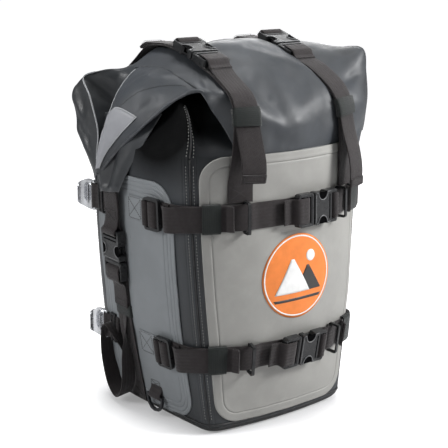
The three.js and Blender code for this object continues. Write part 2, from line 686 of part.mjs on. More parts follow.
function addHarness() {
  const stations = [402, 380, 350, 320, 290, 260, 230, 205].map((z) => (
    { point: vec(0, rearY(0, z) + 2.9, z), normal: vec(0, 1, 0), across: vec(1, 0, 0) }));
  add('harness_strap', ribbon(stations, WEB * 0.66), 'web');
  add('harness_glide', plate(3.4, softRect(-17, -12, 17, 12, 3),
    [rect(-13.2, -8.6, 13.2, -2.2), rect(-12.9, 2.2, 12.8, 8.6)]), 'plastic',
  onRear(0, rearY(0, 348) + 7.0, 348));

  const camY = rearY(0, 250) + 6.4;
  const camBody = plate(9, softRect(-17, -19, 17, 19, 3),
    [rect(-13.2, 8.5, 13.2, 14.5), rect(-12.9, -14.5, 12.8, -8.5)]);
  add('cam_buckle', cutFrom(camBody, block(-13.4, -6, 3.5, 13.4, 21, 12)), 'metal',
    onRear(0, camY, 250));
  add('cam_lever', plate(3.4,
    [[-12.6, -1.7], [12.6, -1.7], [12.6, 14], [10, 24], [-10, 24], [-12.6, 14]]), 'metal',
  onRear(0, camY + 5, 251));
}

// ---------- assembly ----------
addBody();
addOverlays();
addClosure();
for (const [side, sign] of SIDES) add(`ear_${side}`, ear(EAR_ROWS[side], sign), 'shell');
LEVELS.forEach(addCompressionStrap);
for (const [side] of SIDES) addTopStrap(side, TOP_STRAPS[side]);
for (const [side, sign] of SIDES) addSideStrap(side, sign);
for (const [side, sign] of SIDES) {
  for (const level of LEVELS) addHook(side, sign, level);
}
for (const [side, sign] of SIDES) addDRings(side, sign);
addHandle();
addRubPad();
addHarness();

export default bag;
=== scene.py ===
# Soft motorcycle saddlebag: fabric panels, webbing, buckles, hooks and their materials.
# It stands on z = 0 with its front towards -y; left is -x and right is +x.
# Lengths are millimetres and turn into metres when a mesh is made.
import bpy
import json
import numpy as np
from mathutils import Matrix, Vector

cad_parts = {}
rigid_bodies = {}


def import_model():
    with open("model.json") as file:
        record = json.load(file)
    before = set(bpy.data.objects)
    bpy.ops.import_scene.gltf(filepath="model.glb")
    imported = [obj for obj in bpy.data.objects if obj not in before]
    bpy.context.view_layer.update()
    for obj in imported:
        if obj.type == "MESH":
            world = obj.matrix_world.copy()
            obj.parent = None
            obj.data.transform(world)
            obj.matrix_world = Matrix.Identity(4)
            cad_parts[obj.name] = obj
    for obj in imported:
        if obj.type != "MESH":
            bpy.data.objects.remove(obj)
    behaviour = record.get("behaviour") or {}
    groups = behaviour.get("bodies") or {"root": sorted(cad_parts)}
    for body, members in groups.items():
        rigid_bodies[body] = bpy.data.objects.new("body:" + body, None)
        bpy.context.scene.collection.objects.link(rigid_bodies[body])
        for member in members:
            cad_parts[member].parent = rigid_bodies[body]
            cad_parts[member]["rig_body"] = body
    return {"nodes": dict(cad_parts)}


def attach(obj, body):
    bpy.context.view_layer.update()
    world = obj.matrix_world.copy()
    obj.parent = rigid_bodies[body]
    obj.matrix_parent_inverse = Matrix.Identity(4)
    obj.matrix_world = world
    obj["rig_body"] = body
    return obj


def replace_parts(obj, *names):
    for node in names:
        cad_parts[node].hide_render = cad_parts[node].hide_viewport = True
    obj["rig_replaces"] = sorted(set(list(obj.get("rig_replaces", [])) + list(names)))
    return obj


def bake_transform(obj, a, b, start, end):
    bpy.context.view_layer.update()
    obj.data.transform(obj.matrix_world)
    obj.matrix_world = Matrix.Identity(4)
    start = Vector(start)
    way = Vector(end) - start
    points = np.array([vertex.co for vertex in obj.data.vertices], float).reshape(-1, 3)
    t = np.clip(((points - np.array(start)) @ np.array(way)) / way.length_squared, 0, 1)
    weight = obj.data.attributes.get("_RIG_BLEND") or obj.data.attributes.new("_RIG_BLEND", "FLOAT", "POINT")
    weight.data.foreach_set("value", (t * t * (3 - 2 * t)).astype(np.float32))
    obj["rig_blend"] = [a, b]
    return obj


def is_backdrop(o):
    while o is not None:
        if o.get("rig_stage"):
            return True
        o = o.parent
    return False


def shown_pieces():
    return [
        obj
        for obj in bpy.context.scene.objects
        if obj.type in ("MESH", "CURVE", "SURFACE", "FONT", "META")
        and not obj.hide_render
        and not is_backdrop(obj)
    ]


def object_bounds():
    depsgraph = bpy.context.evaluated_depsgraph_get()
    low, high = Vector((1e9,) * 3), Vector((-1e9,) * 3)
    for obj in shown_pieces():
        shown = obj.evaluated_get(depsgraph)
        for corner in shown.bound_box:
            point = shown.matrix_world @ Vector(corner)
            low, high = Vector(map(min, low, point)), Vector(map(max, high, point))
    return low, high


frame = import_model()
CAD_BOX = [[float(a) for a in corner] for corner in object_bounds()]

import json
import math

import bmesh
import bpy
import numpy as np
from mathutils import Vector, noise

MM = 0.001
SIDES = (("left", -1), ("right", 1))      # name and sign of x

BODY_HEIGHT = 409.0
FOOT_RADIUS = 14
CORNER_REACH = 0.085                      # corner rounding, as a part of one side

UPPER_Z, LOWER_Z = 324.0, 118.0           # the two compression straps
SIDE_STRAP_Y = 35.0
SIDE_BUCKLE_Z = 239.0
DRING_Y = -18.0                           # D-rings low on the sides
BADGE_X, BADGE_Z, BADGE_RADIUS = 3.0, 227.0, 62.0

WEB = 38.0                                # webbing width
STRAP_OFF = 3.25                          # strap underside above the body
BUCKLE_OFF = 5.9                          # buckle underside above the body


# ---------------------------------------------------------------- small maths
def ease(start, end, x):
    """0 at start, 1 at end, with a smooth run between."""
    t = np.clip((x - start) / (end - start), 0, 1)
    return t * t * (3 - 2 * t)


def bell(x, centre, width, power=2):
    return np.exp(-((x - centre) / width) ** power)


def unit(v):
    v = np.asarray(v, float)
    return v / (np.linalg.norm(v, axis=-1, keepdims=True) + 1e-12)


def noise_at(points, scale, seed):
    values = [noise.noise(Vector((p[0] / scale + seed, p[1] / scale - seed,
                                  p[2] / scale + 2 * seed)))
              for p in points.reshape(-1, 3)]
    return np.array(values).reshape(points.shape[:-1])


def spline_weights(n, s):
    """Catmull-Rom weights of n control values at positions s in 0..n-1."""
    weights = np.zeros((len(s), n))
    for row, v in zip(weights, s):
        i = int(min(max(math.floor(v), 0), n - 2))
        t = v - i
        basis = (0.5 * (-t + 2 * t * t - t ** 3), 0.5 * (2 - 5 * t * t + 3 * t ** 3),
                 0.5 * (t + 4 * t * t - 3 * t ** 3), 0.5 * (-t * t + t ** 3))
        for k, w in zip(range(i - 1, i + 3), basis):
            if k < 0:
                row[0] += 2 * w
                row[1] -= w
            elif k > n - 1:
                row[n - 1] += 2 * w
                row[n - 2] -= w
            else:
                row[k] += w
    return weights


def resample(points, step, closed=False):
    """Even spacing along a Catmull-Rom curve; the first three columns set the length."""
    P = np.asarray(points, float)
    if closed:
        P = np.vstack([P, P[:1]])
    n = len(P)
    curve = []
    for i in range(n - 1):
        p1, p2 = P[i], P[i + 1]
        p0 = P[i - 1] if i > 0 else (P[-2] if closed else 2 * P[0] - P[1])
        p3 = P[i + 2] if i + 2 < n else (P[1] if closed else 2 * P[-1] - P[-2])
        for t in np.linspace(0, 1, 13)[:-1]:
            curve.append(0.5 * ((2 * p1) + (-p0 + p2) * t
                                + (2 * p0 - 5 * p1 + 4 * p2 - p3) * t * t
                                + (-p0 + 3 * p1 - 3 * p2 + p3) * t ** 3))
    curve.append(P[-1])
    curve = np.array(curve)
    steps = np.linalg.norm(np.diff(curve[:, :3], axis=0), axis=1)
    run = np.r_[0, np.cumsum(steps)]
    s = np.linspace(0, run[-1], max(2, int(round(run[-1] / step)) + 1))
    out = np.stack([np.interp(s, run, column) for column in curve.T], -1)
    return (out[:-1], s[:-1]) if closed else (out, s)


def tangents(points, closed=False):
    if closed:
        return unit(np.roll(points, -1, 0) - np.roll(points, 1, 0))
    return unit(np.gradient(points, axis=0))


# ---------------------------------------------------------------- body surface
# u runs round the body: 0..1 front (left to right), 1..2 right side, 2..3 rear, 3..4 left side.
def body_size(z):
    """Half width, half depth, then the bulge of front, sides and rear."""
    q = np.clip(z / BODY_HEIGHT, 0, 1)
    below = FOOT_RADIUS - np.clip(z, 0, FOOT_RADIUS)
    inset = FOOT_RADIUS - np.sqrt(np.maximum(FOOT_RADIUS ** 2 - below ** 2, 0))
    rise = ease(0, 170, z)
    return (128 + 32 * (1 - (1 - q) ** 1.8) - inset, 131 - 6 * q - inset,
            12 + 26 * rise, 3 + 9 * rise, 2 + 3 * ease(0, 150, z))


def half_length(side, z):
    return body_size(z)[side % 2]


def outline(u, z, half_width, y_front, y_rear, front_bulge, side_bulge, rear_bulge):
    """Four bulged sides with sharp corners."""
    u = np.mod(u, 4)
    side = np.floor(u)
    t = 2 * (u - side) - 1
    c = 1 - t * t
    y_mid, y_half = (y_front + y_rear) / 2, (y_rear - y_front) / 2
    on = [side == k for k in range(4)]
    x = np.select(on, [half_width * t, half_width + side_bulge * c,
                       -half_width * t, -half_width - side_bulge * c])
    y = np.select(on, [y_front - front_bulge * c, y_mid + t * y_half,
                       y_rear + rear_bulge * c, y_mid - t * y_half])
    return np.stack([x, y, z * np.ones_like(x)], -1)


def rounded(point_at, u, reach):
    """Replace each corner of an outline by a quadratic curve."""
    corner = np.round(u)
    t = ((u - corner + reach) / (2 * reach))[..., None]
    bend = ((1 - t) ** 2 * point_at(corner - reach) + 2 * t * (1 - t) * point_at(corner)
            + t ** 2 * point_at(corner + reach))
    return np.where((np.abs(u - corner) < reach)[..., None], bend, point_at(u))


def section(u, z):
    u = np.asarray(u, float)
    z = np.asarray(z, float) * np.ones_like(u)
    width, depth, front, side, rear = body_size(z)
    return rounded(lambda v: outline(v, z, width, -depth, depth, front, side, rear),
                   u, CORNER_REACH)


def outward(u, z):
    u = np.asarray(u, float)
    along_u = section(u + 1e-3, z) - section(u - 1e-3, z)
    return unit(np.cross(along_u, section(u, z + 0.5) - section(u, z - 0.5)))


def surface(u, z, off=0.0):
    return section(u, z) + outward(u, z) * np.asarray(off, float)[..., None]


def surface_point(u, z, off=0.0):
    return surface(np.array([u]), z, off)[0]


def outward_at(u, z):
    return outward(np.array([u]), z)[0]


def front_u(x, z):
    return (x / body_size(z)[0] + 1) / 2


def front_x(u, z):
    return (2 * u - 1) * body_size(z)[0]


def side_u(y, z, sign):
    depth = body_size(z)[1]
    return 3 + (1 - y / depth) / 2 if sign < 0 else 1 + (1 + y / depth) / 2


def side_x(y, z, sign):
    """Distance of the side wall from the middle plane."""
    return abs(surface_point(side_u(y, z, sign), z)[0])


def front_y(x, z):
    width, depth, bulge = body_size(z)[:3]
    return -depth - bulge * (1 - (x / width) ** 2)


def rear_y(x, z):
    width, depth, *_, bulge = body_size(z)
    return depth + bulge * (1 - (x / width) ** 2)


# ---------------------------------------------------------------- materials
def shade(colour, factor):
    return tuple(min(1, a * factor) for a in colour)


def pale(colour, keep, add):
    return tuple(keep * a + add for a in colour)


class Shader:
    """One material's nodes round a Principled shader. Sizes are millimetres."""

    def __init__(self, name):
        self.material = bpy.data.materials.new(name)
        self.material.use_nodes = True
        self.tree = self.material.node_tree
        self.tree.nodes.clear()
        output = self.node("OutputMaterial")
        self.principled = self.node("BsdfPrincipled")
        self.link(self.principled.outputs[0], output.inputs[0])
        self.coords = self.node("TexCoord").outputs
        self.normal = None

    def node(self, kind, **settings):
        node = self.tree.nodes.new("ShaderNode" + kind)
        for key, value in settings.items():
            setattr(node, key, value)
        return node

    def link(self, output, socket):
        self.tree.links.new(output, socket)

    def feed(self, socket, value):
        if hasattr(value, "links"):
            self.link(value, socket)
        else:
            socket.default_value = value

    def math(self, operation, a, b=0.0):
        node = self.node("Math", operation=operation)
        for socket, value in zip(node.inputs, (a, b, 0.0)):
            self.feed(socket, value)
        return node.outputs[0]

    def add(self, a, b):
        return self.math("ADD", a, b)

    def multiply(self, a, b):
        return self.math("MULTIPLY", a, b)

    def wave(self, coordinate, pitch):
        return self.math("SINE", self.multiply(coordinate, 2 * math.pi / (pitch * MM)))

    def axes(self, space):
        node = self.node("SeparateXYZ")
        self.link(self.coords[space], node.inputs[0])
        return node.outputs

    def stretched(self, scale, rotation=(0, 0, 0)):
        node = self.node("Mapping")
        self.link(self.coords["Object"], node.inputs[0])
        node.inputs["Scale"].default_value = scale
        node.inputs["Rotation"].default_value = rotation
        return node.outputs[0]

    def noise(self, size, detail=3, rough=0.55, coords=None):
        node = self.node("TexNoise")
        node.inputs["Scale"].default_value = 1000.0 / size
        node.inputs["Detail"].default_value = detail
        node.inputs["Roughness"].default_value = rough
        self.link(coords or self.coords["Object"], node.inputs["Vector"])
        return node.outputs["Fac"]

    def cells(self, size):
        node = self.node("TexVoronoi", feature="SMOOTH_F1")
        node.inputs["Scale"].default_value = 1000.0 / size
        self.link(self.coords["Object"], node.inputs["Vector"])
        return node.outputs["Distance"]

    def remap(self, value, span, to=(0.0, 1.0)):
        node = self.node("MapRange")
        self.link(value, node.inputs[0])
        for i, limit in enumerate((*span, *to), 1):
            node.inputs[i].default_value = limit
        return node.outputs[0]

    def varied(self, size, to, detail=3):
        """A slowly changing value, used for roughness."""
        return self.remap(self.noise(size, detail), (0.3, 0.7), to)

    def mix(self, factor, a, b):
        node = self.node("Mix", data_type="RGBA")
        self.feed(node.inputs[0], factor)
        for socket, colour in ((node.inputs[6], a), (node.inputs[7], b)):
            self.feed(socket, colour if hasattr(colour, "links") else (*colour, 1))
        return node.outputs[2]

    def mottle(self, base, colour, size, span, to=(0.0, 1.0), detail=3, rough=0.55):
        """Patches of a second colour, shown where the noise lies in the span."""
        return self.mix(self.remap(self.noise(size, detail, rough), span, to), base, colour)

    def worn_edges(self, edges, size, span):
        pointiness = self.node("NewGeometry").outputs["Pointiness"]
        return self.multiply(self.remap(pointiness, edges),
                             self.remap(self.noise(size, detail=4), span))

    def bump(self, height, depth, strength):
        node = self.node("Bump")
        node.inputs["Distance"].default_value = depth * MM
        node.inputs["Strength"].default_value = strength
        self.link(height, node.inputs["Height"])
        if self.normal:
            self.link(self.normal, node.inputs["Normal"])
        self.normal = node.outputs[0]

    def finish(self, colour, rough, metallic=0.0, sheen=0.0, spec=0.5):
        sockets = self.principled.inputs
        self.link(colour, sockets["Base Color"])
        self.feed(sockets["Roughness"], rough)
        for key, value in {"Metallic": metallic, "Sheen Weight": sheen, "Sheen Roughness": 0.4,
                           "Coat Weight": 0.0, "Coat Roughness": 0.3,
                           "Specular IOR Level": spec}.items():
            sockets[key].default_value = value
        self.link(self.normal, sockets["Normal"])
        return self.material


def coated(name, colour, rough=0.45, blotch=0.16, edge=0.5, spec=0.45, tint=(1.0, 1.0, 1.0),
           shadow=None):
    """Coated woven fabric: mottling, embossed grain over a faint weave, scuffed high spots.
    shadow gives the centre, inner and outer radius of a painted shadow: a hollow where colour and specular
    are darkened."""
    m = Shader(name)
    broad = m.noise(size=120)
    medium = m.noise(size=22, detail=4)
    fine = m.noise(size=1.4, rough=0.6)
    tinted = tuple(a * b for a, b in zip(colour, tint))
    c = m.mix(m.remap(broad, span=(0.35, 0.68)),
              shade(colour, 1 - blotch), shade(tinted, 1 + blotch))
    c = m.mix(m.remap(medium, span=(0.45, 0.75), to=(0, 0.35)), c, shade(colour, 1.25))
    scuff = m.worn_edges(edges=(0.515, 0.60), size=9, span=(0.42, 0.62))
    c = m.mix(m.multiply(scuff, edge), c, pale(colour, keep=0.55, add=0.18))
    c = m.mottle(c, pale(colour, keep=0.6, add=0.14), size=3.2, span=(0.62, 0.78),
                 to=(0, 0.10), detail=5, rough=0.7)
    r = m.add(m.remap(medium, span=(0.3, 0.75), to=(rough - 0.07, rough + 0.09)),
              m.remap(fine, span=(0.3, 0.7), to=(-0.04, 0.05)))
    x, y, z = m.axes("Object")
    weave = m.multiply(m.wave(m.add(x, y), pitch=1.15), m.wave(z, pitch=1.15))
    m.bump(weave, depth=0.05, strength=0.35)
    m.bump(m.cells(size=1.7), depth=0.10, strength=0.5)
    m.bump(medium, depth=0.7, strength=0.35)
    if shadow is None:
        return m.finish(c, r, spec=spec)
    # painted shadow: inside the inner radius the colour falls to 8 % of its tone and the specular to 15 %,
    # fading out by the outer radius
    centre, inner, outer = shadow
    away = m.node("VectorMath", operation="DISTANCE")
    m.link(m.coords["Object"], away.inputs[0])
    away.inputs[1].default_value = tuple(a * MM for a in centre)
    dark = m.remap(away.outputs["Value"], span=(inner * MM, outer * MM), to=(1.0, 0.0))
    c = m.mix(dark, c, shade(colour, 0.08))
    r = m.add(r, m.multiply(dark, 0.25))
    m.finish(c, r, spec=spec)
    m.link(m.add(m.multiply(dark, -0.85 * spec), spec),
           m.principled.inputs["Specular IOR Level"])
    return m.material


def webbing(name, colour, pitch=1.9, wear=0.35):
    """Woven nylon; the UV map runs along and across the strap in metres."""
    m = Shader(name)
    along, across, _ = m.axes("UV")
    zigzag = m.math("PINGPONG", across, 2.6 * MM)
    rib = m.wave(m.add(along, m.multiply(zigzag, 0.75)), pitch)
    warp = m.wave(across, pitch=1.3)
    h = m.add(m.multiply(rib, 0.6), m.multiply(warp, 0.4))
    # painted shade and highlight: colour darker in the weave's hollows and lighter on its ribs, following
    # the bump height
    c = m.mix(m.remap(h, span=(-0.9, 0.9)), shade(colour, 0.62), shade(colour, 1.32))
    warm = (colour[0] * 1.05, colour[1], colour[2])
    c = m.mottle(c, shade(warm, 1.25), size=30, span=(0.4, 0.7), to=(0, 0.4))
    c = m.mottle(c, pale(colour, keep=0.6, add=0.05), size=2.0, span=(0.6, 0.8), to=(0, wear),
                 detail=4, rough=0.7)
    m.bump(h, depth=0.28, strength=0.75)
    m.bump(m.noise(size=0.9), depth=0.12, strength=0.4)
    return m.finish(c, m.varied(size=6, to=(0.68, 0.86)), sheen=0.25, spec=0.3)


def elastic(name, colour):
    m = Shader(name)
    along, across, _ = m.axes("UV")
    cords = m.wave(across, pitch=1.5)
    ribs = m.wave(along, pitch=2.4)
    h = m.add(m.multiply(cords, 0.75), m.multiply(ribs, 0.25))
    # painted shade and highlight: colour darker between the cords and lighter on them, following the bump
    # height
    c = m.mix(m.remap(h, span=(-0.8, 0.8)), shade(colour, 0.7), shade(colour, 1.35))
    m.bump(h, depth=0.35, strength=0.8)
    m.bump(m.noise(size=0.8), depth=0.1, strength=0.5)
    return m.finish(c, rough=0.85, sheen=0.3, spec=0.25)


def moulded(name, colour, rough=0.38, edge=0.6, grain=0.05, spec=0.5):
    """Moulded plastic or rubber with worn edges and fine scratches."""
    m = Shader(name)
    c = m.mottle(shade(colour, 0.85), shade(colour, 1.2), size=18, span=(0.35, 0.7))
    wear = m.worn_edges(edges=(0.53, 0.64), size=4, span=(0.38, 0.6))
    c = m.mix(m.multiply(wear, edge), c, pale(colour, keep=0.5, add=0.06))
    streaks = m.stretched(scale=(1, 0.15, 1), rotation=(0.3, 0.5, 0.8))
    scratch = m.remap(m.noise(size=1.2, detail=2, rough=0.4, coords=streaks),
                      span=(0.66, 0.74), to=(0, 0.25))
    c = m.mix(scratch, c, pale(colour, keep=0.6, add=0.03))
    m.bump(m.noise(size=0.5, detail=2), depth=grain, strength=0.5)
    m.bump(m.noise(size=7), depth=0.12, strength=0.3)
    return m.finish(c, m.varied(size=10, to=(rough - 0.07, rough + 0.12), detail=4), spec=spec)


def metal(name, colour, rough, metallic=1.0):
    m = Shader(name)
    brushed = m.noise(size=0.7, rough=0.6, coords=m.stretched(scale=(1, 0.06, 0.5)))
    c = m.mottle(colour, shade(colour, 0.62), size=8, span=(0.45, 0.7), to=(0, 0.3), detail=4)
    m.bump(brushed, depth=0.03, strength=0.5)
    m.bump(m.noise(size=12), depth=0.15, strength=0.25)
    r = m.add(m.remap(brushed, span=(0.3, 0.7), to=(rough - 0.05, rough + 0.1)),
              m.remap(m.noise(size=5, detail=4), span=(0.4, 0.7), to=(-0.03, 0.12)))
    return m.finish(c, r, metallic=metallic)


def thread(name, colour):
    m = Shader(name)
    along, around, _ = m.axes("UV")
    twist = m.wave(m.add(along, m.multiply(around, 1.0)), pitch=0.9)
    # painted shade and highlight along the twist: colour follows the twist's bump
    c = m.mix(m.remap(twist, span=(-1, 1)), shade(colour, 0.65), shade(colour, 1.1))
    c = m.mottle(c, shade(colour, 0.7), size=5, span=(0.4, 0.7), to=(0, 0.3))
    m.bump(twist, depth=0.15, strength=0.6)
    return m.finish(c, rough=0.7, sheen=0.2, spec=0.3)


def printed(name, colour, rough=0.4):
    """Printed vinyl film, slightly mottled."""
    m = Shader(name)
    c = m.mottle(shade(colour, 0.92), shade(colour, 1.05), size=15, span=(0.35, 0.7), detail=4)
    c = m.mottle(c, shade(colour, 0.75), size=1.6, span=(0.66, 0.8), to=(0, 0.2),
                 detail=5, rough=0.75)
    m.bump(m.cells(size=1.7), depth=0.06, strength=0.4)
    m.bump(m.noise(size=14), depth=0.3, strength=0.3)
    return m.finish(c, m.varied(size=9, to=(rough - 0.06, rough + 0.1)), spec=0.4)


CHARCOAL = (0.030, 0.0325, 0.035)
COOL = (0.96, 1.01, 1.08)
MAT = {
    "shell": coated("fabric_charcoal", CHARCOAL, rough=0.42, tint=COOL, spec=0.5),
    # body fabric, with a painted shadow darkening the left front collar under the flap
    "skin": coated("fabric_charcoal_body", CHARCOAL, rough=0.44, tint=COOL,
                   shadow=((-160, -62, 458), 58, 112)),
    "light": coated("fabric_light_grey", (0.300, 0.296, 0.280), rough=0.52, blotch=0.05,
                    edge=0.25, spec=0.35),
    "side": coated("fabric_side_grey", (0.190, 0.203, 0.213), rough=0.50, blotch=0.07,
                   edge=0.3, spec=0.4),
    # roof fabric: the charcoal made lighter than the body's to paint in the sheen its slopes catch
    "roof": coated("fabric_charcoal_roof", (0.043, 0.046, 0.050), rough=0.50, tint=COOL),
    "rear": coated("fabric_rear_grey", (0.212, 0.214, 0.208), rough=0.52, blotch=0.07,
                   edge=0.3, spec=0.38),
    # pale patch on the front flap: partly a lighter layer, partly a painted highlight where the flap's fold
    # catches light
    "hem": coated("fabric_inner_grey", (0.30, 0.305, 0.325), rough=0.48, blotch=0.06,
                  edge=0.2, spec=0.4),
    "web": webbing("webbing_black", (0.0215, 0.0175, 0.018), wear=0.16),
    "elastic": elastic("elastic_black", (0.0145, 0.0175, 0.0165)),
    "plastic": moulded("buckle_plastic", (0.0105, 0.011, 0.012), rough=0.30, edge=0.3,
                       spec=0.36),
    "plastic2": moulded("ring_plastic", (0.010, 0.0105, 0.0115), rough=0.34, edge=0.35,
                        spec=0.4),
    # light grey plastic on the socket rims, lips and edge: painted highlights on the black buckles
    "bright": moulded("buckle_edge", (0.135, 0.137, 0.140), rough=0.22, edge=0.5),
    # near-black, almost unreflective plastic for the socket wells and slot: painted shade
    "pit": moulded("buckle_recess", (0.0015, 0.0015, 0.0018), rough=0.8, edge=0.0, spec=0.03),
    "alu": metal("polished_aluminium", (0.80, 0.81, 0.83), rough=0.17),
    "steel": metal("black_steel", (0.06, 0.06, 0.065), rough=0.34, metallic=0.8),
    "thread_l": thread("thread_pale", (0.42, 0.42, 0.40)),
    "thread_d": thread("thread_dark", (0.045, 0.043, 0.043)),
    "rubber": moulded("rubber_black", (0.014, 0.0145, 0.0155), rough=0.58, grain=0.12),
    "orange": printed("print_orange", (0.80, 0.22, 0.04)),
    "white": printed("print_white", (0.80, 0.80, 0.79)),
    "dark": printed("print_dark", (0.035, 0.033, 0.032)),
    "red": webbing("webbing_red", (0.36, 0.012, 0.010), pitch=1.4, wear=0.1),
    "board": moulded("board_plastic", (0.60, 0.60, 0.57), rough=0.5, edge=0.2),
    "cut": coated("cut_edge_pale", (0.36, 0.37, 0.38), rough=0.5, blotch=0.1, edge=0.1),
}
SLOTS = {
    "shell": "coated_fabric", "skin": "coated_fabric", "roof": "coated_fabric",
    "cut": "coated_fabric", "light": "overlay_light", "hem": "overlay_light",
    "orange": "overlay_light", "white": "overlay_light", "dark": "overlay_light",
    "side": "overlay_side", "rear": "overlay_rear", "web": "webbing", "elastic": "webbing",
    "red": "webbing", "plastic": "buckle_plastic", "bright": "buckle_plastic",
    "pit": "buckle_plastic", "rubber": "base_rubber", "board": "stiffener_board",
    "alu": "polished_aluminium",
}


# ---------------------------------------------------------------- mesh helpers
def sharpen(mesh, angle):
    """Smooth faces with sharp edges above the angle in degrees."""
    bm = bmesh.new()
    bm.from_mesh(mesh)
    for edge in bm.edges:
        if len(edge.link_faces) == 2 and edge.calc_face_angle(0) > math.radians(angle):
            edge.smooth = False
    for face in bm.faces:
        face.smooth = True
    bm.to_mesh(mesh)
    bm.free()


def add_object(name, verts, faces, mat, body="bag", uv=None, sharp=None):
    mesh = bpy.data.meshes.new(name)
    mesh.from_pydata([tuple(v) for v in np.asarray(verts, float) * MM], [],
                     [tuple(int(i) for i in face) for face in faces])
    mesh.validate(clean_customdata=False)
    if uv is not None:
        layer = mesh.uv_layers.new(name="UVMap")
        corners = np.empty(len(mesh.loops), dtype=np.int32)
        mesh.loops.foreach_get("vertex_index", corners)
        layer.data.foreach_set("uv", np.asarray(uv, np.float32)[corners].ravel())
    bm = bmesh.new()
    bm.from_mesh(mesh)
    bmesh.ops.recalc_face_normals(bm, faces=bm.faces)
    bm.to_mesh(mesh)
    bm.free()
    obj = bpy.data.objects.new(name, mesh)
    bpy.context.scene.collection.objects.link(obj)
    for polygon in mesh.polygons:
        polygon.use_smooth = True
    if sharp is not None:
        sharpen(mesh, sharp)
    mesh.materials.append(MAT[mat])
    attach(obj, body)
    return obj


def assign(obj, mat, replaces="", slot=None):
    if replaces:
        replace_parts(obj, *replaces.split())
    slot = slot or SLOTS.get(mat)


def put(name, mesh, mat, body="bag", replaces="", slot=None, sharp=50):
    """Add a (verts, faces[, uv]) mesh."""
    verts, faces, *uv = mesh
    obj = add_object(name, verts, faces, mat, body, uv=uv[0] if uv else None, sharp=sharp)
    assign(obj, mat, replaces, slot)
    return obj


def modify(obj, kind, **settings):
    modifier = obj.modifiers.new(kind.lower(), kind)
    for key, value in settings.items():
        setattr(modifier, key, value)


def thicken(obj, thickness):
    modify(obj, "SOLIDIFY", thickness=thickness * MM, offset=-1.0)


def grid_faces(columns, rows, wrap=False):
    faces = []
    for j in range(rows - 1):
        for i in range(columns if wrap else columns - 1):
            a = j * columns + i
            b = j * columns + (i + 1) % columns
            faces.append((a, b, b + columns, a + columns))
    return faces


def loft_faces(sides, rings):
    """Faces joining closed rings, with both ends capped."""
    return grid_faces(sides, rings, wrap=True) + [
        tuple(range(sides))[::-1], tuple(range((rings - 1) * sides, rings * sides))]


def sheet(name, grid, mat, thickness):
    rows, columns = grid.shape[:2]
    obj = add_object(name, grid.reshape(-1, 3), grid_faces(columns, rows), mat)
    thicken(obj, thickness)
    assign(obj, mat)
    return obj


def tube(path, radius, sides=10, closed=False):
    """A round tube along a path; radius may be one value or one per point."""
    path = np.asarray(path, float)
    along = tangents(path, closed)
    normals = [unit(np.cross(along[0], unit([0.3, 0.5, 0.81])))]
    for t in along[1:]:
        last = normals[-1]
        normals.append(unit(last - t * np.dot(last, t)))
    normals = np.array(normals)
    binormals = np.cross(along, normals)
    angle = (2 * math.pi * np.arange(sides) / sides)[:, None]
    rings = np.cos(angle) * normals[:, None] + np.sin(angle) * binormals[:, None]
    radii = np.broadcast_to(np.asarray(radius, float), (len(path),))[:, None, None]
    rings = path[:, None] + radii * rings
    if not closed:
        return rings.reshape(-1, 3), loft_faces(sides, len(path))
    # join the last ring to the first with the smallest twist
    faces = grid_faces(sides, len(path), wrap=True)
    turn = min(range(sides),
               key=lambda s: np.linalg.norm(np.roll(rings[0], -s, axis=0) - rings[-1]))
    last = (len(path) - 1) * sides
    for k in range(sides):
        faces.append((last + k, last + (k + 1) % sides,
                      (k + 1 + turn) % sides, (k + turn) % sides))
    return rings.reshape(-1, 3), faces


def web_profile(w, t):
    """Flat webbing section (across, height): rounded edges, slightly crowned."""
    h = w / 2
    return [(-h + 0.1, 0.18 * t), (-h, 0.5 * t), (-h + 0.35, 0.86 * t), (-h + 1.4, t),
            (-h * 0.5, 1.04 * t), (0, 1.06 * t), (h * 0.5, 1.04 * t), (h - 1.4, t),
            (h - 0.35, 0.86 * t), (h, 0.5 * t), (h - 0.1, 0.18 * t), (h - 1.4, 0),
            (h * 0.5, 0.0), (0, 0.0), (-h * 0.5, 0.0), (-h + 1.4, 0)]


def keeper_profile(h, drop=2.4, t=1.5):
    """Section of an elastic band over webbing of height h, its legs reaching down by drop."""
    k = WEB / 2 + 0.5
    return [(-k - t, -drop), (-k - t, h - 0.5), (-k - 0.4, h + 0.8), (-k + 2.5, h + t),
            (0, h + t * 1.1), (k - 2.5, h + t), (k + 0.4, h + 0.8), (k + t, h - 0.5),
            (k + t, -drop), (k, -drop), (k, h - 1.0), (k - 1, h), (0, h + 0.1), (-k + 1, h),
            (-k, h - 1.0), (-k, -drop)]


def ribbon(path, across, w=WEB, t=1.9, step=3.0, profile=None):
    """Webbing along the centre of its inner face. across is its width direction,
    one for all points or one each."""
    path = np.asarray(path, float)
    across = np.broadcast_to(np.asarray(across, float), path.shape)
    samples, s = resample(np.hstack([path, across]), step)
    P, B = samples[:, :3], samples[:, 3:]
    T = tangents(P)
    B = unit(B - T * (B * T).sum(1, keepdims=True))
    N = np.cross(B, T)
    profile = np.array(profile or web_profile(w, t), float)
    verts = P[:, None] + B[:, None] * profile[:, :1] + N[:, None] * profile[:, 1:]
    # the underside has its own stretch of the map, 100 mm away
    v = profile[:, 0] + np.where(profile[:, 1] < 0.3 * t, 100, 0)
    uv = np.stack(np.broadcast_arrays(s[:, None], v[None]), -1).reshape(-1, 2) * MM
    return verts.reshape(-1, 3), loft_faces(len(profile), len(P)), uv


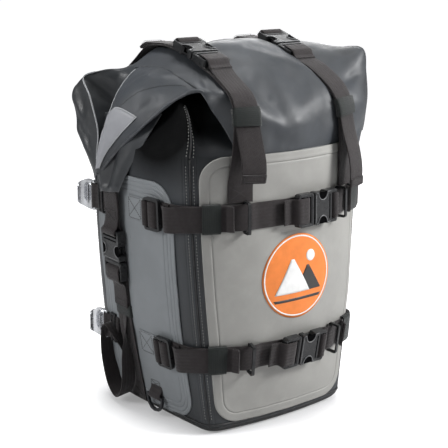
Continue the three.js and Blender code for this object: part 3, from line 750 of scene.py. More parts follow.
def body_ribbon(us, zs, offs, w=WEB, t=1.9, step=3.0, vertical=False, profile=None):
    """Webbing that follows the body through (u, z) stations at given offsets."""
    us, zs, offs = [np.asarray(a, float) * np.ones(len(us)) for a in (us, zs, offs)]
    samples, _ = resample(np.stack([us * 300, zs, offs], -1), step * 2)
    u, z, off = samples[:, 0] / 300, samples[:, 1], samples[:, 2]
    if vertical:
        P = surface(u, z, off)
        B = surface(u + 0.004, z, off) - surface(u - 0.004, z, off)
    else:
        low, high = surface(u, z - w / 2, off), surface(u, z + w / 2, off)
        P, B = (low + high) / 2, high - low
        # keep the middle on the surface where the body bulges
        middle = surface(u, z, off)
        P = np.where((((middle - P) * outward(u, z)).sum(1) > 0)[:, None], middle, P)
    B = unit(B)
    if np.sign((np.cross(B, tangents(P)) * outward(u, z)).sum(1)).mean() < 0:
        B = -B
    return ribbon(P, B, w, t, step, profile)


def rounded_rect(x0, x1, y0, y1, r, n):
    points = []
    for cx, cy, start in ((x1 - r, y1 - r, 0), (x0 + r, y1 - r, 90),
                          (x0 + r, y0 + r, 180), (x1 - r, y0 + r, 270)):
        for angle in np.radians(np.linspace(start, start + 90, n)):
            points.append((cx + r * math.cos(angle), cy + r * math.sin(angle)))
    return points


def extruded(name, points, shift, mat, bevel, segments, body="bag", replaces="", slot=None):
    """A flat outline pushed along a vector, with bevelled edges."""
    bm = bmesh.new()
    face = bm.faces.new([bm.verts.new(tuple(np.asarray(p) * MM)) for p in points])
    grown = bmesh.ops.extrude_face_region(bm, geom=[face])
    for item in grown["geom"]:
        if isinstance(item, bmesh.types.BMVert):
            item.co += Vector(np.asarray(shift) * MM)
    mesh = bpy.data.meshes.new(name)
    bmesh.ops.recalc_face_normals(bm, faces=bm.faces)
    bm.to_mesh(mesh)
    bm.free()
    obj = bpy.data.objects.new(name, mesh)
    bpy.context.scene.collection.objects.link(obj)
    mesh.materials.append(MAT[mat])
    for polygon in mesh.polygons:
        polygon.use_smooth = True
    modify(obj, "BEVEL", width=bevel * MM, segments=segments, limit_method="ANGLE",
           angle_limit=0.6, harden_normals=True)
    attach(obj, body)
    assign(obj, mat, replaces, slot)


# ---------------------------------------------------------------- stitching
STITCHES = {}      # (material, body) to a list of (verts, uv)
STITCH_SIDES = 6
# each ring of a stitch: place along it, thickness and height
STITCH_RINGS = ((-0.5, 0.25, -0.35), (-0.28, 0.9, 0.1), (0, 1.0, 0.28), (0.28, 0.9, 0.1),
                (0.5, 0.25, -0.35))


def stitch_run(points, normals, mat="thread_d", pitch=3.6, length=2.7, r=0.42, body="bag"):
    points = np.asarray(points, float)
    line = np.hstack([points, np.broadcast_to(np.asarray(normals, float), points.shape)])
    run = np.r_[0, np.cumsum(np.linalg.norm(np.diff(points, axis=0), axis=1))]
    total = run[-1]
    n = max(1, int((total - length) / pitch))
    uv = np.array([[k * length / 4 * MM, a * r * MM]
                   for k in range(len(STITCH_RINGS)) for a in range(STITCH_SIDES)])
    for i in range(n + 1):
        centre = (total - n * pitch) / 2 + i * pitch
        rings = []
        for place, size, height in STITCH_RINGS:
            s = np.clip(centre + place * length, 0, total)
            q = np.array([np.interp(s, run, column) for column in line.T])
            rings.append((q[:3] + q[3:] * height * r * 1.4, q[3:], size * r))
        along = unit(rings[-1][0] - rings[0][0])
        verts = []
        for p, normal, radius in rings:
            across = unit(np.cross(along, normal))
            up = np.cross(across, along)
            for a in range(STITCH_SIDES):
                angle = a * math.pi / 3
                verts.append(p + radius * (math.cos(angle) * across + math.sin(angle) * up))
        STITCHES.setdefault((mat, body), []).append((np.array(verts), uv))


def stitch_box(point_at, s0, s1, t0, t1, body="bag", cross=True):
    """A sewn rectangle with an optional cross; point_at(s, t) gives a point and normal."""
    lines = [((s0, t0), (s1, t0)), ((s1, t0), (s1, t1)),
             ((s1, t1), (s0, t1)), ((s0, t1), (s0, t0))]
    if cross:
        lines += [((s0 + 1, t0 + 1), (s1 - 1, t1 - 1)), ((s0 + 1, t1 - 1), (s1 - 1, t0 + 1))]
    for a, b in lines:
        placed = [point_at(a[0] + (b[0] - a[0]) * q, a[1] + (b[1] - a[1]) * q)
                  for q in np.linspace(0, 1, 8)]
        stitch_run([p for p, _ in placed], [normal for _, normal in placed],
                   pitch=3.4, body=body)


def add_stitches():
    faces = loft_faces(STITCH_SIDES, len(STITCH_RINGS))
    size = STITCH_SIDES * len(STITCH_RINGS)
    for mat, body in sorted(STITCHES):
        parts = STITCHES[mat, body]
        mesh = (np.concatenate([verts for verts, _ in parts]),
                [tuple(v + i * size for v in face) for i in range(len(parts)) for face in faces],
                np.concatenate([uv for _, uv in parts]))
        put("stitching_%s_%s" % (mat[-1], body), mesh, mat, body=body, sharp=None)


# ---------------------------------------------------------------- bag skin
def softness(u, z):
    """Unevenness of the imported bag: panels puff between the straps and pull in under them."""
    u, z = np.broadcast_arrays(np.asarray(u, float), np.asarray(z, float))
    side = np.floor(np.mod(u, 4))
    t = 2 * (np.mod(u, 4) - side) - 1
    middle = np.clip(1 - t * t, 0, 1)
    front, lateral = side == 0, side % 2 == 1
    amount = np.select([front, lateral], [1.0, 0.8], 0.45)
    P = section(u, z)
    x, y = P[..., 0], P[..., 1]
    beside_strap = np.where(lateral, 1 - bell(y, SIDE_STRAP_Y, 27, 4), 1.0)
    puff = 2.2 * bell(z, 221, 62) + 1.3 * bell(z, 62, 34) + 1.2 * bell(z, 382, 26)
    pinch = -1.3 * (bell(z, UPPER_Z, 20) + bell(z, LOWER_Z, 20))
    uneven = 3.4 * noise_at(P, 95.0, 3.1) + 1.3 * noise_at(P, 38.0, 9.7)
    # calm the noise under straps, D-rings and the badge, and over the rear
    keep = (1 - bell(z, UPPER_Z, 27, 4)) * (1 - bell(z, LOWER_Z, 27, 4)) * beside_strap
    keep = keep * np.where(lateral, 1 - bell(y, DRING_Y, 20, 4) * (z < 70), 1.0)
    top_straps = (bell(x, -90, 26, 4) + bell(x, 106, 26, 4)) * ease(300, 345, z)
    badge = 0.55 * bell(np.hypot(x - BADGE_X, z - BADGE_Z), 0, 66, 6)
    keep = keep * np.where(front, (1 - top_straps) * (1 - badge), 1.0)
    keep = keep * np.where(side == 2, 0.45, 1.0)
    return amount * (middle ** 0.6 * (puff * beside_strap + pinch)
                     + uneven * keep * middle ** 0.35)


# Collar above the body; the first level meets the body top. Columns: half width, front y,
# front bulge, rear y, rear bulge, side bulge, z, corner rounding
COLLAR = np.array([
    [160, -125, 38, 125, 5, 12, 409.0, 0.085],
    [156, -125, 34, 121, 5, 2, 436, 0.09],
    [150, -121, 31, 115, 7, -8, 462, 0.10],
    [144, -110, 28, 104, 9, -15, 481, 0.12],
    [138, -86, 22, 86, 9, -20, 499, 0.14],
    [132, -56, 14, 64, 8, -20, 513, 0.16],
    [126, -20, 4, 40, 5, -8, 524, 0.18]])


def collar_points(u, level):
    """Points round the collar at level 0..6, with the front-left part pushed in."""
    width, y_front, front, y_rear, rear, side, z, reach = (
        spline_weights(len(COLLAR), [level])[0] @ COLLAR)
    P = rounded(lambda v: outline(v, z, width, y_front, y_rear, front, side, rear), u, reach)
    x, y = P[:, 0], P[:, 1]
    P[:, 1] += (40 * ease(-156, -120, x) * ease(407, 450, z) * ease(-60, -100, y)
                * ease(160, 120, x))
    return P


def seam_relief(s):
    """Groove and ridge at distance s from a welded corner seam."""
    return -0.9 * bell(s, 0, 1.1) + 0.55 * bell(s, 3.2, 1.6)


def add_skin():
    one_side = np.r_[np.linspace(0, 0.11, 34)[:-1], np.linspace(0.11, 0.89, 22)[:-1],
                     np.linspace(0.89, 1.0, 34)[:-1]]
    us = np.concatenate([k + one_side for k in range(4)])
    near = np.abs(us - np.round(us))
    rings = []
    for z in np.r_[0.6, 1.5, 3, 5, 7.5, 10, 12.5, np.arange(15, 405, 4.0), 405, 407.5, 409]:
        width, depth = body_size(z)[:2]
        s = near * np.where(np.floor(us) % 2 == 0, 2 * width, 2 * depth)
        # pressed line and ridge along the edge of the seam's flange
        flange = -0.55 * bell(s, 10.5, 0.8) + 0.35 * bell(s, 8.6, 0.9)
        off = softness(us, z) * ease(0.02, 0.2, near) + seam_relief(s) + flange
        off = off * ease(2, 16, z) + 0.5 * bell(z, 19, 1.6) - 0.4 * bell(z, 22.5, 1.2)
        rings.append(surface(us, z, off))
    for level in np.linspace(0, 6, 61)[1:]:
        P = collar_points(us, level)
        uneven = 1.6 * noise_at(P, 42, 5.0) + 0.8 * noise_at(P, 17, 2.0)
        away = P - P.mean(0)
        away[:, 2] = 0
        off = uneven * ease(0, 0.6, level) + seam_relief(near * 300) * (1 - ease(3, 5, level))
        rings.append(P + unit(away) * off[:, None])
    put("bag_skin", (np.concatenate(rings), loft_faces(len(us), len(rings))), "skin",
        replaces="shell collar", sharp=60)


add_skin()

# ---------------------------------------------------------------- welded overlay panels
ARC_POINTS, UPRIGHT_POINTS, LEVEL_POINTS = 9, 64, 40


def panel_ring(edge, z0, z1, radius, inset):
    """One ring (x, z) of a rounded rectangle that narrows with the body.
    edge(z, inset) is its half width; the ring starts low on the right and runs upwards."""
    r = max(radius - inset, 2.5)
    side_inset = inset + r
    z_low, z_high = z0 + inset + r, z1 - inset - r
    points = []

    def arc(start, z_centre, sign):
        for a in np.linspace(start, start + math.pi / 2, ARC_POINTS + 2)[1:-1]:
            z = z_centre + r * math.sin(a)
            points.append((sign * edge(z, side_inset) + r * math.cos(a), z))

    def level(z, sign):
        for q in np.linspace(0, 1, LEVEL_POINTS):
            points.append((sign * (1 - 2 * q) * edge(z, side_inset), z))

    uprights = np.linspace(z_low, z_high, UPRIGHT_POINTS)
    points += [(edge(z, inset), z) for z in uprights]
    arc(0, z_high, 1)
    level(z1 - inset, 1)
    arc(math.pi / 2, z_high, -1)
    points += [(-edge(z, inset), z) for z in uprights[::-1]]
    arc(math.pi, z_low, -1)
    level(z0 + inset, -1)
    arc(1.5 * math.pi, z_low, 1)
    return np.array(points)


def overlay(name, side, margin, z0, z1, radius, mat, replaces, lines, puff=0.0, raised=0.0,
            extra=None):
    """A welded panel: rolled edge, weld lines at given insets, and the bag's soft shape."""
    def edge(z, inset):
        return half_length(side, z) - margin - inset

    insets = {0, 0.35, 0.9, 1.8, 3.2, 5.5, 8.5, 18, 22, 27, 33, 40, 48, 57, 67, 77, 87, 97, 105}
    insets.update(l + k for l in lines for k in (-2.2, -1.1, -0.5, 0, 0.5, 1.1, 2.2))
    limit = min(edge(z0 + 30, 0), (z1 - z0) / 2) - 6
    insets = [i for i in sorted(insets) if i < limit] + [limit]
    verts = []
    for i in insets:
        x, z = panel_ring(edge, z0, z1, radius, i).T
        u = side + (x / half_length(side, z) + 1) / 2
        rolled = 1.3 * math.sqrt(min(1.0, i / 1.2)) if i > 0 else -0.6
        off = 0.9 + rolled + softness(u, z) + puff * ease(4, 40, i) + raised * bell(i, 5, 3.2)
        for l in lines:
            off = off - 0.75 * bell(i, l, 0.75) + 0.28 * bell(abs(i - l), 2.0, 0.9)
        if extra is not None:
            off = off + extra(x, z)
        verts.append(surface(u, z, off))
    n = len(verts[0])
    faces = grid_faces(n, len(insets), wrap=True)
    # close the last ring with strips between its right and left halves
    last = (len(insets) - 1) * n
    top = UPRIGHT_POINTS + ARC_POINTS + LEVEL_POINTS // 2
    right = [last + (top - 1 - i) % n for i in range(n // 2)]
    left = [last + (top + i) % n for i in range(n // 2)]
    for i in range(n // 2 - 1):
        faces.append((right[i], right[i + 1], left[i + 1], left[i]))
    obj = add_object(name, np.concatenate(verts), faces, mat)
    thicken(obj, 1.1)
    assign(obj, mat, replaces)


def front_top_band(x, z):
    """A raised line and a slightly raised band along the top of the front panel."""
    return (bell(z, 398.5, 1.5) * ease(122, 112, np.abs(x))
            + 0.35 * ease(397, 400, z) * ease(126, 118, np.abs(x)))


overlay("panel_front", 0, margin=13, z0=15.5, z1=409.5, radius=36, mat="light",
        replaces="front_panel", lines=(13.5,), extra=front_top_band)
for side, index in (("left", 3), ("right", 1)):
    overlay("panel_" + side, index, margin=30, z0=13, z1=369, radius=40, mat="side",
            replaces=side + "_panel", lines=(6.5, 13.0, 20.5))
overlay("panel_rear", 2, margin=22, z0=16, z1=401, radius=30, mat="rear",
        replaces="rear_panel", lines=(15.0,), puff=1.6, raised=1.2)

# ---------------------------------------------------------------- roof
# Control points (x, y, z) of the roof. Rows run left to right, columns front to rear.
ROOF_NET = np.array([
    # beyond the crease; it only steers the curve
    [(-128, -85, 487), (-130, -80, 487), (-132, -78, 487), (-134, -76, 488), (-143, -50, 502),
     (-149, -10, 511), (-155, 35, 505), (-146, 63, 492), (-160, 97, 497), (-164, 114, 470),
     (-160, 118, 437), (-152, 121, 403)],
    # crease
    [(-88, -149, 402), (-99, -136, 438), (-113, -122, 468), (-126, -105, 497), (-128, -64, 511),
     (-127, -20, 521), (-131, 28, 519), (-132, 66, 510), (-134, 94, 492), (-136, 111, 465),
     (-137, 118, 438), (-138, 125, 403)],
    [(-72, -154.5, 402), (-76, -160, 438), (-80, -159, 467), (-84, -142, 491), (-84, -98, 515),
     (-82, -45, 534), (-84, 14, 545.5), (-86, 58, 538), (-88, 97, 507), (-90, 118, 474),
     (-93, 127, 440), (-95, 128.5, 403)],
    [(-36, -161, 402), (-38, -166, 438), (-40, -163, 468), (-42, -147, 493), (-42, -104, 520),
     (-40, -42, 543), (-40, 14, 550), (-42, 66, 539), (-44, 101, 510), (-46, 121, 476),
     (-47, 129.5, 440), (-48, 130.5, 403)],
    [(0, -163, 402), (0, -168, 438), (0, -165, 468), (0, -149, 494), (0, -107, 523),
     (0, -42, 549), (0, 12, 555), (0, 66, 543), (0, 103, 513), (0, 123, 477), (0, 130.5, 440),
     (0, 131, 403)],
    [(52, -158, 402), (51, -163, 438), (50, -160, 468), (48, -145, 493), (46, -104, 522),
     (45, -42, 547), (45, 12, 553), (45, 66, 541), (47, 102, 511), (48, 122, 476),
     (49, 130, 440), (50, 130.5, 403)],
    [(108, -146, 402), (106, -151, 438), (104, -148, 468), (99, -132, 490), (94, -94, 518),
     (90, -40, 540), (90, 14, 546), (92, 64, 534), (94, 98, 507), (95, 119, 474),
     (97, 128, 440), (98, 129, 403)],
    [(141, -133, 400), (147, -137, 436), (152, -136, 468), (151, -124, 494), (149, -98, 523),
     (147, -44, 540), (147, 12, 543), (148, 62, 534), (150, 96, 514), (150, 114, 480),
     (148, 122, 442), (142, 126, 403)],
    # outer edge of the right end, then down its flap to the tip
    [(165, -119, 392), (177, -114, 420), (191, -106, 462), (195, -97, 501), (195, -90, 534),
     (186, -44, 533), (183, 18, 531), (174, 52, 518), (176, 88, 506), (178, 108, 474),
     (174, 114, 438), (166, 115, 398)],
    [(173, -84, 380), (183, -82, 405), (194, -76, 445), (196, -66, 480), (195, -50, 500),
     (193, -15, 510), (193, 35, 505), (158, 53, 490), (178, 84, 480), (184, 105, 458),
     (180, 110, 428), (170, 108, 392)],
    [(179, -48, 367), (187, -46, 388), (195, -42, 415), (197, -34, 438), (197, -18, 452),
     (197, 6, 458), (196, 39, 452), (157, 55, 438), (180, 77, 434), (186, 92, 422),
     (183, 98, 402), (174, 96, 376)],
    [(185, -12, 355), (189, -9, 367), (194, -2, 380), (195, 6, 390), (195, 16, 396),
     (195, 26, 398), (195, 42, 396), (172, 51, 389), (186, 60, 386), (188, 66, 380),
     (186, 71, 370), (180, 72, 358)],
    [(189 + 1.5 * math.sin(math.pi * i / 11), 11 + 48 * i / 11, 341) for i in range(12)],
], float)
ROOF_CENTRE = np.array([0, 0, 470.0])

# Folds pressed into the roof: line of points, height, width
ROOF_FOLDS = [
    ([(-90, -140, 424), (-104, -120, 460), (-117, -99, 492)], 3.0, 7),
    ([(-96, -136, 505), (-108, -128, 486), (-112, -118, 470)], 4.5, 9),
    ([(-108, -95, 515), (-118, -118, 492)], -3.5, 7),
    ([(-64, -160, 452), (-40, -168, 430), (-8, -170, 418)], -3.5, 13),
    ([(-62, -160, 470), (-30, -165, 455), (10, -168, 448)], 2.6, 14),
    ([(-50, -110, 520), (-56, -140, 498), (-52, -160, 470)], -2.5, 10),
    ([(60, -112, 518), (72, -136, 494), (76, -152, 466)], 3.5, 10),
    ([(70, -150, 470), (50, -163, 440), (20, -168, 420)], -2.2, 14),
    ([(120, -135, 495), (150, -122, 500), (188, -92, 502)], -3.2, 6),
    ([(120, -130, 470), (150, -137, 455), (172, -122, 430)], 2.8, 14),
    ([(-20, -60, 545), (20, -95, 530), (60, -110, 515)], 2.2, 16),
    ([(-100, 20, 545), (0, 30, 560), (100, 25, 552)], 1.5, 18),
    ([(-125, -60, 515), (-150, -30, 498), (-172, 0, 470)], 2.6, 9),
    ([(-150, -52, 478), (-166, -22, 462), (-180, 5, 440)], -3.0, 7),
    ([(-135, -30, 520), (-160, 5, 500)], -2.2, 8),
    ([(-176, 100, 480), (-190, 92, 440)], -4.0, 8),
    ([(-170, 110, 460), (-188, 104, 425)], 3.0, 7),
    ([(-182, 84, 440), (-188, 82, 405)], -3.0, 7),
    ([(192, -60, 470), (196, -20, 430), (194, 20, 390)], 3.0, 12),
    ([(194, -30, 480), (196, 5, 440)], -2.5, 10),
    ([(-112, 66, 526), (-95, 68, 532), (-40, 76, 535), (20, 78, 535), (92, 74, 528),
      (118, 70, 526)], -13.0, 8.0),
    ([(-95, 48, 541), (0, 55, 548), (92, 52, 542)], 4.5, 11),
    ([(-84, 97, 513), (0, 103, 510), (92, 99, 508)], 4.5, 12),
    ([(172, 60, 480), (176, 90, 470), (160, 118, 452)], 4.5, 7),
    ([(166, 58, 455), (178, 86, 440), (170, 112, 420)], -4.5, 7),
    ([(162, 56, 430), (180, 80, 412), (178, 100, 392)], 4.0, 6.5),
    ([(150, 70, 520), (166, 96, 500), (150, 118, 470)], -4.5, 8),
    ([(175, 52, 500), (182, 84, 496), (172, 108, 476)], 3.5, 6),
    ([(120, 92, 512), (140, 112, 480), (150, 120, 450)], 3.0, 9),
    ([(-70, 105, 500), (-40, 124, 470), (-20, 132, 440)], 2.6, 12),
    ([(60, 105, 500), (40, 124, 470), (10, 132, 440)], -2.4, 12),
    ([(-110, 108, 480), (-124, 120, 440), (-130, 126, 412)], -3, 9),
    ([(110, 112, 485), (128, 122, 448), (136, 127, 415)], -3, 9),
]
# Further folds in the left end
END_FOLDS = [
    ([(-150, -20, 512), (-160, 10, 494), (-166, 20, 480)], 1.8, 3.5),
    ([(-138, -40, 510), (-150, -10, 500), (-157, 5, 488)], 1.5, 3.5),
    ([(-183, 20, 452), (-188, 30, 420), (-190, 48, 392)], 2.2, 6),
    ([(-160, -44, 478), (-178, -10, 446), (-188, 22, 408)], -2.6, 4.5),
    ([(-186, 120, 478), (-190, 100, 452), (-189, 84, 430)], 4.5, 6),
    ([(-190, 116, 456), (-190, 96, 430), (-188, 78, 404)], -5.0, 6),
    ([(-186, 112, 432), (-190, 98, 412), (-189, 80, 390)], 4.0, 5.5),
    ([(-178, 108, 486), (-184, 104, 468), (-187, 90, 455)], -3.6, 5),
    ([(-184, 106, 410), (-186, 94, 386), (-184, 82, 366)], -3.5, 5.5),
    ([(-172, 117, 440), (-178, 108, 410), (-182, 92, 380)], 3.0, 7),
]


def line_distance(P, line):
    """Distance of each point from a line of segments, and its place 0..1 along it."""
    line = np.asarray(line, float)
    nearest, place = np.full(len(P), 1e9), np.zeros(len(P))
    n = len(line) - 1
    for i in range(n):
        a, ab = line[i], line[i + 1] - line[i]
        t = np.clip(((P - a) @ ab) / (ab @ ab), 0, 1)
        d = np.linalg.norm(P - (a + t[:, None] * ab), axis=1)
        closer = d < nearest
        nearest[closer] = d[closer]
        place[closer] = (i + t[closer]) / n
    return nearest, place


def net_surface(net, rows, columns):
    return np.einsum("ri,cj,ijk->rck", spline_weights(net.shape[0], rows),
                     spline_weights(net.shape[1], columns), net)


def grid_normals(grid):
    return unit(np.cross(np.gradient(grid, axis=0), np.gradient(grid, axis=1)))


def fold(grid, normals, folds, amount=1.0, fine=1.0):
    """Press the folds and a little noise into a grid."""
    P = grid.reshape(-1, 3)
    d = np.zeros(len(P))
    for line, height, width in folds:
        r, t = line_distance(P, line)
        fade = np.sin(np.pi * np.clip(0.12 + 0.76 * t, 0, 1)) ** 0.8
        d += height * bell(r, 0, width) * fade
    uneven = (1.9 * noise_at(P, 60, 11.0) + 1.0 * noise_at(P * np.array([1, 1, 0.6]), 26, 4.0)
              + 0.35 * noise_at(P, 11, 8.0))
    d = d * amount + fine * uneven
    return (P + normals.reshape(-1, 3) * d[:, None]).reshape(grid.shape)


CLOTH = dict(quality=6, mass=0.25, tension_stiffness=18.0, compression_stiffness=18.0,
             shear_stiffness=9.0, bending_stiffness=9.0, tension_damping=8,
             bending_damping=0.5, air_damping=2, vertex_group_mass="pin", pin_stiffness=1.0,
             shrink_min=-0.014, shrink_max=-0.014)
CLOTH_SCALE = MM * 4          # the sheet is simulated at four times its size
CLOTH_FRAMES = 22
CLOTH_GAIN, CLOTH_CAP = 0.75, 6.0        # share of the movement kept, and its limit


def drape(grid, pin):
    """Let a sheet buckle as cloth with a little spare length; pin is 0..1 per point."""
    rows, columns = grid.shape[:2]
    mesh = bpy.data.meshes.new("cloth_tmp")
    mesh.from_pydata([tuple(v * CLOTH_SCALE) for v in grid.reshape(-1, 3)], [],
                     grid_faces(columns, rows))
    mesh.update()
    obj = bpy.data.objects.new("cloth_tmp", mesh)
    bpy.context.scene.collection.objects.link(obj)
    group = obj.vertex_groups.new(name="pin")
    for i, weight in enumerate(pin.reshape(-1)):
        if weight > 0:
            group.add([i], float(min(weight, 1.0)), "REPLACE")
    cloth = obj.modifiers.new("cloth", "CLOTH")
    for key, value in CLOTH.items():
        setattr(cloth.settings, key, value)
    cloth.settings.effector_weights.gravity = 0.15
    cloth.collision_settings.use_collision = False
    cloth.point_cache.frame_start = 1
    cloth.point_cache.frame_end = CLOTH_FRAMES
    scene = bpy.context.scene
    first_frame = scene.frame_current
    for f in range(1, CLOTH_FRAMES + 1):
        scene.frame_set(f)
    evaluated = obj.evaluated_get(bpy.context.evaluated_depsgraph_get())
    result = evaluated.to_mesh()
    moved = np.empty(len(result.vertices) * 3)
    result.vertices.foreach_get("co", moved)
    evaluated.to_mesh_clear()
    moved = (moved.reshape(-1, 3) / CLOTH_SCALE).reshape(grid.shape)
    scene.frame_set(first_frame)
    bpy.data.objects.remove(obj)
    bpy.data.meshes.remove(mesh)
    d = np.nan_to_num(moved - grid)
    # soften the movement
    for _ in range(4):
        p = np.pad(d, ((1, 1), (1, 1), (0, 0)), mode="edge")
        d = (p[1:-1, 1:-1] * 2 + p[:-2, 1:-1] + p[2:, 1:-1] + p[1:-1, :-2] + p[1:-1, 2:]) / 6
    d = d * CLOTH_GAIN
    length = np.linalg.norm(d, axis=-1, keepdims=True)
    return grid + d * (np.minimum(length, CLOTH_CAP) / np.maximum(length, 1e-9))


def add_roof():
    last = len(ROOF_NET) - 1
    grid = net_surface(ROOF_NET, np.linspace(1, last, (last - 1) * 8 + 1),
                       np.linspace(0, 11, 11 * 7 + 1))
    facing = ((grid - ROOF_CENTRE) * grid_normals(grid)).sum(-1)
    sign = 1 if np.sign(facing).mean() > 0 else -1
    x, z = grid[..., 0], grid[..., 2]
    pin = np.zeros(grid.shape[:2])
    pin[:, :2] = pin[:, -2:] = pin[0] = pin[-2:] = 1
    under_straps = np.maximum(bell(x, -84, 21, 4), bell(x, 92, 21, 4))
    pin = np.maximum(pin, under_straps * 0.9 * (z > 400))
    pin = np.maximum(pin, ease(425, 400, z))
    grid = drape(grid, pin)
    rows, columns = grid.shape[:2]
    grid = net_surface(grid, np.linspace(0, rows - 1, (rows - 1) * 2 + 1),
                       np.linspace(0, columns - 1, (columns - 1) * 2 + 1))
    normals = grid_normals(grid) * sign
    folded = fold(grid, normals, ROOF_FOLDS, amount=0.9, fine=0.65)
    roof = sheet("roof_drape", folded, "roof", 1.7)
    put("wing_edge", tube((folded + normals * 0.3)[112, 12:112:2], 1.5, 10), "roof")
    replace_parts(roof, "roll_top", "ear_right")


add_roof()

# Left end of the closure: front flap, pocket between the layers, rear layer.
# Rows run from the low tip up past the crease, columns front to rear.
FRONT_FLAP = np.array([
    [(-188, 52, 366), (-189, 56, 366), (-190, 60, 365), (-188, 62, 362)],
    [(-185, 29, 390), (-189, 38, 391), (-192, 49, 389), (-189, 58, 388)],
    [(-180, -1, 416), (-187, 11, 422), (-191, 29, 425), (-188, 49, 419)],
    [(-174, -37, 443), (-181, -15, 454), (-187, 11, 460), (-184, 37, 450)],
    [(-158, -65, 471), (-165, -36, 486), (-171, -3, 494), (-171, 33, 483)],
    [(-141, -87, 489), (-146, -52, 504), (-151, -13, 513), (-152, 33, 504)],
    [(-126, -105, 497), (-128, -64, 511), (-128, -20, 521), (-131, 28, 520)],
    [(-84, -142, 491), (-84, -98, 515), (-82, -45, 534), (-84, 14, 545.5)]], float)
POCKET = np.array([
    [(-187, 60, 362), (-186, 62, 362), (-186, 63, 363), (-187, 64, 364)],
    [(-186, 57, 388), (-178, 60, 384), (-178, 63, 387), (-187, 63, 394)],
    [(-185, 49, 420), (-168, 55, 414), (-168, 60, 418), (-187, 58, 430)],
    [(-180, 37, 450), (-155, 52, 444), (-154, 64, 446), (-185, 78, 473)],
    [(-167, 33, 482), (-146, 50, 470), (-148, 72, 470), (-181, 101, 501)],
    [(-149, 34, 503), (-143, 48, 496), (-149, 64, 497), (-161, 80, 512)],
    [(-131, 28, 519), (-132, 40, 517.5), (-133, 52, 517), (-134, 64, 516)],
    [(-84, 14, 545.5), (-85, 30, 544), (-86, 45, 541), (-86, 58, 538)]], float)
REAR_LAYER = np.array([
    [(-187, 64, 364), (-184, 70, 360), (-181, 76, 356), (-179, 80, 348)],
    [(-188, 62, 392), (-189, 78, 387), (-183, 86, 374), (-178, 88, 362)],
    [(-188, 58, 430), (-190, 92, 420), (-184, 100, 396), (-175, 101, 380)],
    [(-186, 78, 473), (-191, 112, 455), (-185, 110, 418), (-171, 112, 392)],
    [(-182, 101, 501), (-188, 121, 478), (-181, 116, 438), (-164, 116, 400)],
    [(-161, 80, 512), (-166, 116, 479), (-160, 119, 438), (-152, 121, 403)],
    [(-134, 64, 516), (-136, 106, 480), (-137, 118, 438), (-138, 125, 403)],
    [(-86, 58, 538), (-89, 109, 490), (-93, 127, 440), (-95, 128.5, 403)]], float)
# Lower fold of the left end, down to the sewn webbing tab
LOW_FOLD = np.array([
    [(-150, -50, 462), (-160, -22, 462), (-168, 10, 460), (-172, 40, 458), (-170, 66, 452)],
    [(-165, -40, 432), (-176, -12, 434), (-181, 14, 432), (-182, 42, 430), (-176, 70, 424)],
    [(-174, -20, 399), (-183, 0, 401), (-183, 24, 400), (-186, 46, 397), (-180, 68, 392)],
    [(-180, -3, 371), (-188, 14, 373), (-186, 32, 371), (-190, 50, 368), (-185, 66, 364)],
    [(-186, 9, 344), (-190, 20, 343), (-189.5, 35, 341), (-190.5, 48, 340), (-187, 60, 337)],
], float)
END_ROWS = 18      # grid rows per row of control points in the left end


def end_sheet(name, net, mat, folds, push=0.0):
    """One layer of the left end, sunk by push; returns object, grid and normals."""
    grid = net_surface(net, np.linspace(0, 6.25, int(6.25 * END_ROWS) + 1),
                       np.linspace(0, 3, 3 * 26 + 1))
    normals = grid_normals(grid)
    if ((grid - np.array([-60.0, 20, 440.0])) * normals).sum() < 0:
        normals = -normals
    grid = fold(grid, normals, folds) - normals * push
    folded = grid_normals(grid)
    folded = folded * np.sign((folded * normals).sum(-1).mean())
    return sheet(name, grid, mat, 1.7), grid, folded


flap_end, flap, flap_out = end_sheet("roof_end_left", FRONT_FLAP, "roof",
                                     ROOF_FOLDS + END_FOLDS)
end_sheet("roof_end_left_pocket", POCKET, "shell",
          [([(-150, 60, 500), (-152, 60, 470), (-165, 56, 430)], -4, 8)], push=0.8)
_, rear_layer, rear_out = end_sheet(
    "roof_end_left_rear", REAR_LAYER, "shell",
    ROOF_FOLDS + [(line, h * 0.62, w * 1.7) for line, h, w in END_FOLDS])
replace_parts(flap_end, "ear_left")
for name, grid, normals, column, rows in (
        ("cut_edge_front", flap, flap_out, -1, slice(2, 104)),
        ("cut_edge_rear", rear_layer, rear_out, 0, slice(14, 84))):
    put(name, tube(grid[rows, column] - normals[rows, column] * 0.7, 1.15, 8), "cut")
# rolled hem along the lower edge of the front flap
hem = flap[4:112, 0] - flap_out[4:112, 0]
put("flap_hem_roll", tube(hem, 2.5 + 0.5 * np.sin(0.21 * np.arange(len(hem))), 12), "roof")


def add_flap_patch():
    """Pale patch welded on the front flap, partly lighter fabric and partly a painted highlight where the
    fold catches light, with tubes along two of its edges.
    """
    columns = flap.shape[1]
    low_row, high_row = int(0.35 * END_ROWS), int(3.2 * END_ROWS)
    patch = []
    for i in range(low_row, high_row + 1):
        rise = (i - low_row) / (high_row - low_row)
        start = 0.26 + 0.10 * (1 - rise) + 0.05 * math.sin(rise * 5)
        place = np.linspace(start * (columns - 1), columns - 1.0, 30)
        before = np.minimum(np.floor(place).astype(int), columns - 2)
        part = (place - before)[:, None]
        raised = flap[i] + flap_out[i] * 1.3 * min(1, (high_row - i) / 2.0 + 0.15)
        patch.append(raised[before] * (1 - part) + raised[before + 1] * part)
    patch = np.array(patch)
    sheet("flap_pale_patch", patch, "hem", 1.0)
    put("patch_edge_top", tube(patch[-1], 0.9, 8), "cut", slot="overlay_light")
    put("patch_edge_side", tube(patch[:, 0], 0.7, 8), "cut", slot="overlay_light")


